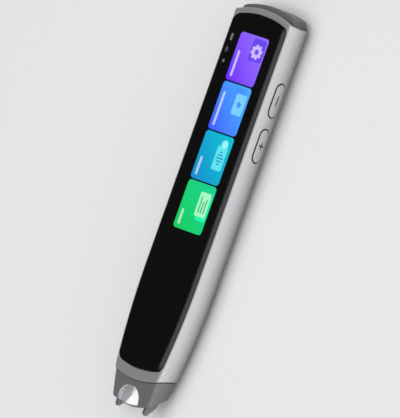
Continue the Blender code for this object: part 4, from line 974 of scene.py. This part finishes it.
def make_glass(finish):
    """Cover glass: flat over the screen, with its long edges curved down; marks where the grey strip of
    painted reflection lies along the edge on the keys' side.
    """
    outline = glass_outline(0)
    radius = (GLASS_EDGE_WIDTH ** 2 + GLASS_EDGE_DROP ** 2) / (2 * GLASS_EDGE_DROP)
    rings = [[(x, y, GLASS_UNDERSIDE) for x, y in outline]]
    for angle in spaced(asin(GLASS_EDGE_WIDTH / radius), 0, 2 * EDGE_STEPS):
        inner = drawn_in(outline, GLASS_EDGE_WIDTH - radius * sin(angle))
        height = GLASS_TOP - radius * (1 - cos(angle))
        rings.append([(x, y, height) for x, y in inner])
    lens = loft("cover_glass_lens", rings)
    edge_reflection_share = lens.data.attributes.new("edge_reflection_share", "FLOAT", "POINT")
    for vertex, mark in zip(lens.data.vertices, edge_reflection_share.data):
        x, y, z = vertex.co
        inward = half_width(y) - GLASS_INSET - x
        if inward < PAINTED_REFLECTION_WIDTH and z > GLASS_UNDERSIDE:
            shy_of_end = min((PAINTED_REFLECTION_TOP - y) / PAINTED_REFLECTION_TOP_FADE, (y - PAINTED_REFLECTION_END) / PAINTED_REFLECTION_END_FADE)
            mark.value = min(max(shy_of_end, 0), 1) * min((GLASS_EDGE_WIDTH - inward) / PAINTED_REFLECTION_FADE, 1)
    dressed(lens, finish, "pen", "cover_glass")


def make_key(name, finish):
    """Side key: a pill that follows the sleeve's side, on a flange with a nub behind it."""
    middle = (KEY_YS[name], KEY_Z)
    half_u = KEY_LENGTH / 2
    half_v = KEY_WIDTH / 2

    def crown(inset, drop=0.0):
        return [(side_x(v, KEY_PROUD) - drop, u, v) for u, v in pill(middle, half_u - inset, half_v - inset)]

    nub = pill(middle, KEY_NUB_RADIUS, KEY_NUB_RADIUS)
    flange = pill(middle, half_u + KEY_FLANGE_RIM, half_v + KEY_FLANGE_RIM)
    levels = (
        (KEY_NUB_TIP, nub),
        (KEY_FLANGE_FOOT, nub),
        (KEY_FLANGE_FOOT, flange),
        (KEY_FLANGE_TOP, flange),
        (KEY_FLANGE_TOP, pill(middle, half_u, half_v)),
    )
    rings = [[(x, u, v) for u, v in outline] for x, outline in levels]
    rings += [crown(inset, drop) for inset, drop in reversed(rounding(KEY_EDGE))]
    rings += [crown(inset) for inset in spaced(KEY_EDGE, half_v, CROWN_STEPS)[1:]]
    dressed(loft(name + "_key_cap", rings), finish, name + "_key", name + "_key")


def make_cap(finish):
    """End cap: slices from back to front, with the port and the microphone hole in its end."""
    side = WALL + GAP
    front = CAVITY_TOP - GAP
    profile = []
    for share, inward, rise, from_front in section(side, CAVITY_FRONT_RADIUS - GAP):
        if share == 1:
            profile.append((front + rise if from_front else rise, WIDTH / 2 - side - inward))
    rises = spaced(0, CAP_EDGE, CAP_STEPS)
    heights = {z for z, _ in profile} | {side + rise for rise in rises} | {front - rise for rise in rises}
    rings = []
    for z in sorted(heights):
        for (low, low_x), (high, high_x) in zip(profile, profile[1:]):
            half = low_x + (high_x - low_x) * (z - low) / (high - low)
            if z <= high:
                break
        depth = min(z - side, front - z, CAP_EDGE)
        fall = CAP_EDGE - sqrt(max(CAP_EDGE ** 2 - (CAP_EDGE - depth) ** 2, 0))
        dome = end_outline(WIDTH / 2 - half, TOP_Y - fall, CAP_ARC - fall, CAP_CORNER, 1)
        right = dome + [(half, CAP_FOOT)]
        rings.append([(x, y, z) for x, y in right + [(-x, y) for x, y in right[:0:-1]]])

    def port(out):
        wide = SOCKET_HALF_WIDTH + out
        high = SOCKET_HALF_HEIGHT + out
        return rounded(rectangle(-wide, SOCKET_Z - high, wide, SOCKET_Z + high), SOCKET_CORNER + out)

    def microphone_hole(out):
        return pill((MICROPHONE_X, MICROPHONE_Z), MICROPHONE_RADIUS + out, MICROPHONE_RADIUS + out)

    def on_dome(u, v, depth):
        return (u, TOP_Y - arc_drop(CAP_ARC, u) - depth, v)

    tools = [flared(hole.__name__, hole, on_dome, CAP_HOLE_DEPTH) for hole in (port, microphone_hole)]
    dressed(shaped(loft("top_cap_shell", rings), tools), finish, "pen", "top_cap")


def make_nose(finish):
    """Nose hood: spigot, skin, lip and hollow in one tube, with an arch in front and behind."""
    side = WALL + GAP
    wall = side + NOSE_WALL

    def seam(x, z):
        return sleeve_end(x, z) - GAP

    def spigot_top(x, z):
        return SPIGOT_TOP

    def step(x, z):
        return SLEEVE_END - NOSE_WALL + arc_drop(END_ARC, x)

    def skin(inset, height):
        side_inset = NOSE_INSET + inset
        radius = NOSE_FRONT_RADIUS - inset
        return ring(NOSE_BACK_INSET + inset, radius, lambda y: nose_front(y) - inset, height, side_inset)

    def hollow(back, height):
        side_inset = NOSE_INSET + NOSE_WALL - back
        radius = CAVITY_FRONT_RADIUS + back
        return ring(wall - back, radius, lambda y: nose_front(y) - NOSE_WALL + back, height, side_inset)

    radius = CAVITY_FRONT_RADIUS
    rings = [ring(side, radius - GAP, lambda y: SPIGOT_FRONT, height) for height in (spigot_top, seam)]
    rings += [skin(inset, lambda x, z: seam(x, z) - drop) for inset, drop in rounding(MOUTH_EDGE)]
    for share in spaced(0, 1, NOSE_STEPS)[1:-1]:
        rings.append(skin(0, lambda x, z: seam(x, z) + (nose_lip(x, z) - seam(x, z)) * share))
    lip = rounding(NOSE_EDGE)
    rings += [skin(inset, lambda x, z: nose_lip(x, z) + rise) for inset, rise in reversed(lip)]
    rings += [hollow(back, lambda x, z: nose_lip(x, z) + rise) for back, rise in lip[1:]]
    rings.append(hollow(0, lambda x, z: step(x, z) - NOSE_WALL))
    for height in (step, spigot_top):
        rings.append(ring(wall, radius, lambda y: SPIGOT_FRONT - NOSE_WALL, height))

    flat = BACK_RADIUS - NOSE_BACK_INSET
    flat_in = SIDE_RADIUS - NOSE_BACK_INSET - (SIDE_RADIUS - BACK_RADIUS) * cos(SIDE_TURN)
    top = SLEEVE_END + END_SLANT_SHARE * THICKNESS - BACK_ARCH_DROP
    half = NOSE_HALF_WIDTH - NOSE_INSET - BACK_ARCH_SIDE

    def before(u, v, depth):
        return (u, v, nose_front(v) - depth)

    def behind(u, v, depth):
        beyond = min(max(abs(u) - (half_width(v) - NOSE_INSET - flat_in), 0), flat)
        return (u, v, NOSE_BACK_INSET + flat - sqrt(flat ** 2 - beyond ** 2) + depth)

    def back_arch(out):
        corners = rectangle(-half - out, NOSE_END - BACK_ARCH_OVERRUN, half + out, top + out)
        return rounded(corners, [0, 0, BACK_ARCH_RADIUS + out, BACK_ARCH_RADIUS + out])

    tools = [
        flared("front_arch", lambda out: arch_outline(-out), before, 2 * NOSE_WALL),
        flared("back_arch", back_arch, behind, 2.4 * NOSE_WALL),
    ]
    nose = shaped(loft("nose_hood", rings, True), tools)
    dressed(nose, finish, "pen", "nose_shell")


def make_pane(finish):
    """Clear pane in the front arch."""
    pane = pillow(
        "tip_window_pane", arch_outline(THIN_GAP), -THIN_GAP - PANE_THICKNESS, -THIN_GAP, PANE_EDGE,
        lambda u, v, height: (u, v, nose_front(v) + height),
    )
    dressed(pane, finish, "pen", "tip_window")


def make_fork(finish):
    """Sprung fork: two shaped feet on arms, and a bar with the nub that trips the switch."""
    middle_y = CROSSBAR_TOP - CROSSBAR_LENGTH / 2
    middle_z = CROSSBAR_BACK + CROSSBAR_DEPTH / 2
    bar_end = CROSSBAR_TOP - CROSSBAR_LENGTH
    bar_front = CROSSBAR_BACK + CROSSBAR_DEPTH
    arm_end = FEET_END + FOOT_LENGTH - ARM_DEPTH
    arm_front = FOOT_BACK + ARM_DEPTH
    pad_outer = FOOT_OUTER + PAD_OVERHANG
    foot = [(FEET_END + FOOT_LENGTH * u, FOOT_FRONT - FOOT_DEPTH * v) for u, v in FOOT_SHARES]
    pad = rectangle(bar_end + FORK_HAIR, middle_z, CROSSBAR_TOP - FORK_HAIR, arm_front + PAD_OVERHANG)

    def along_x(u, v, height):
        return (height, u, v)

    def bar(name, corners, radius, low, high, edge=FOOT_EDGE / 2):
        return pillow(name, rounded(corners, radius), low, high, edge, along_x)

    corners = rectangle(bar_end, CROSSBAR_BACK, CROSSBAR_TOP, bar_front)
    fork = bar("tip_fork_feet", corners, FOOT_EDGE, -pad_outer, pad_outer)
    tools = []
    for direction in (-1, 1):
        low, high = sorted((direction * FOOT_INNER, direction * FOOT_OUTER))
        tools.append(bar("foot", foot, FOOT_CORNERS, low, high, FOOT_ROUND))
        corners = rectangle(arm_end, FOOT_BACK + ARM_INSET, middle_y, arm_front)
        tools.append(bar("arm", corners, FOOT_EDGE, low + ARM_INSET, high - ARM_INSET))
        low, high = sorted((direction * (FOOT_INNER - PAD_OVERHANG), direction * (pad_outer - FORK_HAIR)))
        tools.append(bar("pad", pad, FOOT_EDGE, low, high))
    nub = pill((0.0, middle_z), NUB_RADIUS, NUB_RADIUS)
    tools.append(pillow("nub", nub, middle_y, NUB_END, NUB_RADIUS / 3, lambda u, v, height: (u, height, v)))
    dressed(shaped(fork, tools, "UNION"), finish, "fork", "tip_fork")


def make_spring(name, x, finish):
    """Coil spring with closed ends, between the fork's bar and the chassis."""
    end = CROSSBAR_TOP + GAP
    length = SPRING_TOP - end
    coiled = length - 2 * SPRING_WIRE_RADIUS - 2 * SPRING_CLOSED_PITCH
    z = FOOT_BACK + ARM_DEPTH / 2
    rings = []
    for turns in spaced(0, SPRING_TURNS, SPRING_TURNS * ROUND_STEPS):
        angle = tau * turns
        closed = min(turns, 1) + max(turns - SPRING_TURNS + 1, 0)
        y = end + SPRING_WIRE_RADIUS + closed * SPRING_CLOSED_PITCH
        y += coiled * min(max((turns - 1) / (SPRING_TURNS - 2), 0), 1)
        wire = []
        for around in spaced(0, tau, SPRING_WIRE_SIDES)[:-1]:
            radius = SPRING_RADIUS + SPRING_WIRE_RADIUS * cos(around)
            rise = SPRING_WIRE_RADIUS * sin(around)
            wire.append((x + radius * cos(angle), y + rise, z + radius * sin(angle)))
        rings.append(wire)
    spring = dressed(loft(name, rings), finish, "pen", name)
    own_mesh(spring)


# Setting

VIEW_TURN = radians(42)
VIEW_LEAN = radians(19.54745)
VIEW_CENTRE = (-0.00186, -0.0003, 0.00827)
VIEW_DISTANCE = 2.4
VIEW_LENS = 587
FLOOR_DROP = 0.00005

# How bright the surroundings are, from the left (0) to the right (1)
SURROUNDINGS = ((0.0, 0.24), (0.2, 0.27), (0.5, 0.46), (0.75, 0.72), (0.95, 0.88))
END_BRIGHTENING = 0.8
LAMP_PLACE = (0.1, 0.0, 1.0)
LAMP_WIDTH = 0.7
LAMP_LENGTH = 0.8
LAMP_POWER = 5.4


def make_camera():
    """Camera over the pen's right-hand side, as in the photograph."""
    data = bpy.data.cameras.new("camera")
    data.lens = VIEW_LENS
    camera = placed("camera", data)
    turned = Matrix.Rotation(VIEW_TURN, 4, "Y") @ Matrix.Rotation(VIEW_LEAN, 4, "Z")
    camera.matrix_world = Matrix.Translation(VIEW_CENTRE) @ turned @ Matrix.Translation((0, 0, VIEW_DISTANCE))
    bpy.context.scene.camera = camera


def make_floor():
    """Plain pale floor with the faintest grain."""
    finish = Finish("pale_floor", {"Specular IOR Level": 0.1})
    grain = finish.noise(2.0, 3.0)
    finish.shade("Base Color", finish.mix(grain, srgb(224, 224, 224), srgb(227, 227, 227)))
    finish.shade("Roughness", grain.spread(0.85, 0.95))
    shape = bmesh.new()
    bmesh.ops.create_grid(shape, x_segments=8, y_segments=8, size=1.6)
    bmesh.ops.translate(shape, vec=(0, 0, -FLOOR_DROP), verts=shape.verts)
    floor = add_piece("floor", shape)
    floor.data.materials.append(finish.material)


def make_lamp():
    """Soft box overhead, unseen in the pen's mirrors."""
    data = bpy.data.lights.new("overhead_box", "AREA")
    data.shape = "RECTANGLE"
    data.size = LAMP_WIDTH
    data.size_y = LAMP_LENGTH
    data.energy = LAMP_POWER
    lamp = placed("overhead_box", data)
    lamp.location = LAMP_PLACE
    lamp.rotation_euler = lamp.location.to_track_quat("Z", "Y").to_euler()
    lamp.visible_glossy = False


def make_light():
    """Surroundings that brighten from left to right and towards both ends."""
    world = bpy.data.worlds.new("surroundings")
    world.use_nodes = True
    bpy.context.scene.world = world
    nodes = Nodes(world.node_tree)
    place = nodes.output("ShaderNodeTexCoord", name="Generated")
    split = nodes.node("ShaderNodeSeparateXYZ", None, {"Vector": place}).outputs
    across = Value(nodes, split["X"])
    along = Value(nodes, split["Y"])
    ramp = nodes.node("ShaderNodeValToRGB", None, {"Fac": across * 0.5 + 0.5})
    stops = ramp.color_ramp.elements
    while len(stops) < len(SURROUNDINGS):
        stops.new(0.5)
    for stop, (position, level) in zip(stops, SURROUNDINGS):
        stop.position = position
        stop.color = (level, level, level * 1.01, 1.0)
    background = world.node_tree.nodes["Background"]
    nodes.feed(background.inputs["Color"], ramp.outputs["Color"])
    nodes.feed(background.inputs["Strength"], along * along * END_BRIGHTENING + 1)


def paint(finish, *nodes):
    """Give solids that stay as they are a finish of their own."""
    for node in nodes:
        for slot in frame["nodes"][node].material_slots:
            slot.material = finish.material


bpy.context.scene.view_settings.view_transform = "Standard"
make_camera()
make_floor()
make_light()
make_lamp()

STEEL = satin_metal("plain_steel", (186, 188, 190), 0.32)
# The last number of the sleeve's, cap's and nose's finishes is their share of painted shade towards the back
make_sleeve(satin_metal("sleeve_satin_grey", (224, 225, 227), 0.34, METAL_PAINTED_SHADE))
make_glass(cover_glass())
for key in KEY_YS:
    make_key(key, key_metal(key))
make_cap(moulded("cap_dark_grey", (90, 91, 94), (102, 103, 106), 0.42, 0.12, 0.5))
make_nose(moulded("nose_dark_grey", (130, 131, 133), (140, 141, 143), 0.48, 0.72, 0.35))
make_pane(clear_plastic())
make_fork(moulded("fork_dark_grey", (122, 123, 127), (132, 133, 137), 0.36, 0.72))
make_spring("tip_spring_left", -(FOOT_INNER + FOOT_OUTER) / 2, STEEL)
make_spring("tip_spring_right", (FOOT_INNER + FOOT_OUTER) / 2, STEEL)

paint(moulded("chassis_black", (78, 78, 82), (90, 90, 94), 0.6), "inner_chassis")
paint(
    moulded("switch_black", (34, 34, 35), (46, 46, 48), 0.5),
    "tip_switch", "minus_switch_plunger", "plus_switch_plunger", "camera_housing", "speaker_unit",
)
paint(moulded("display_black", (20, 22, 30), (30, 32, 42), 0.2), "display_panel")
paint(moulded("diffuser_white", (226, 228, 229), (236, 238, 239), 0.45), "light_diffuser")
paint(moulded("lamp_yellow", (240, 224, 120), (250, 238, 170), 0.3), "lamp_left", "lamp_right")
paint(circuit_board("board_green"), "main_board", "side_key_board", "camera_board", "lamp_board")
paint(battery_foil("battery_silver"), "battery_cell")
paint(open_foam("foam_black", (22, 22, 22), (42, 42, 42)), "speaker_gasket", "glass_gasket")
paint(coated_lens("lens_violet"), "camera_lens")
paint(satin_metal("plain_brass", (200, 176, 110), 0.3), "tip_switch_plunger")
paint(
    STEEL,
    "display_tray", "processor_shield", "charging_socket", "microphone", "minus_switch", "plus_switch",
    "board_screw_1", "board_screw_2", "board_screw_3", "board_screw_4",
)
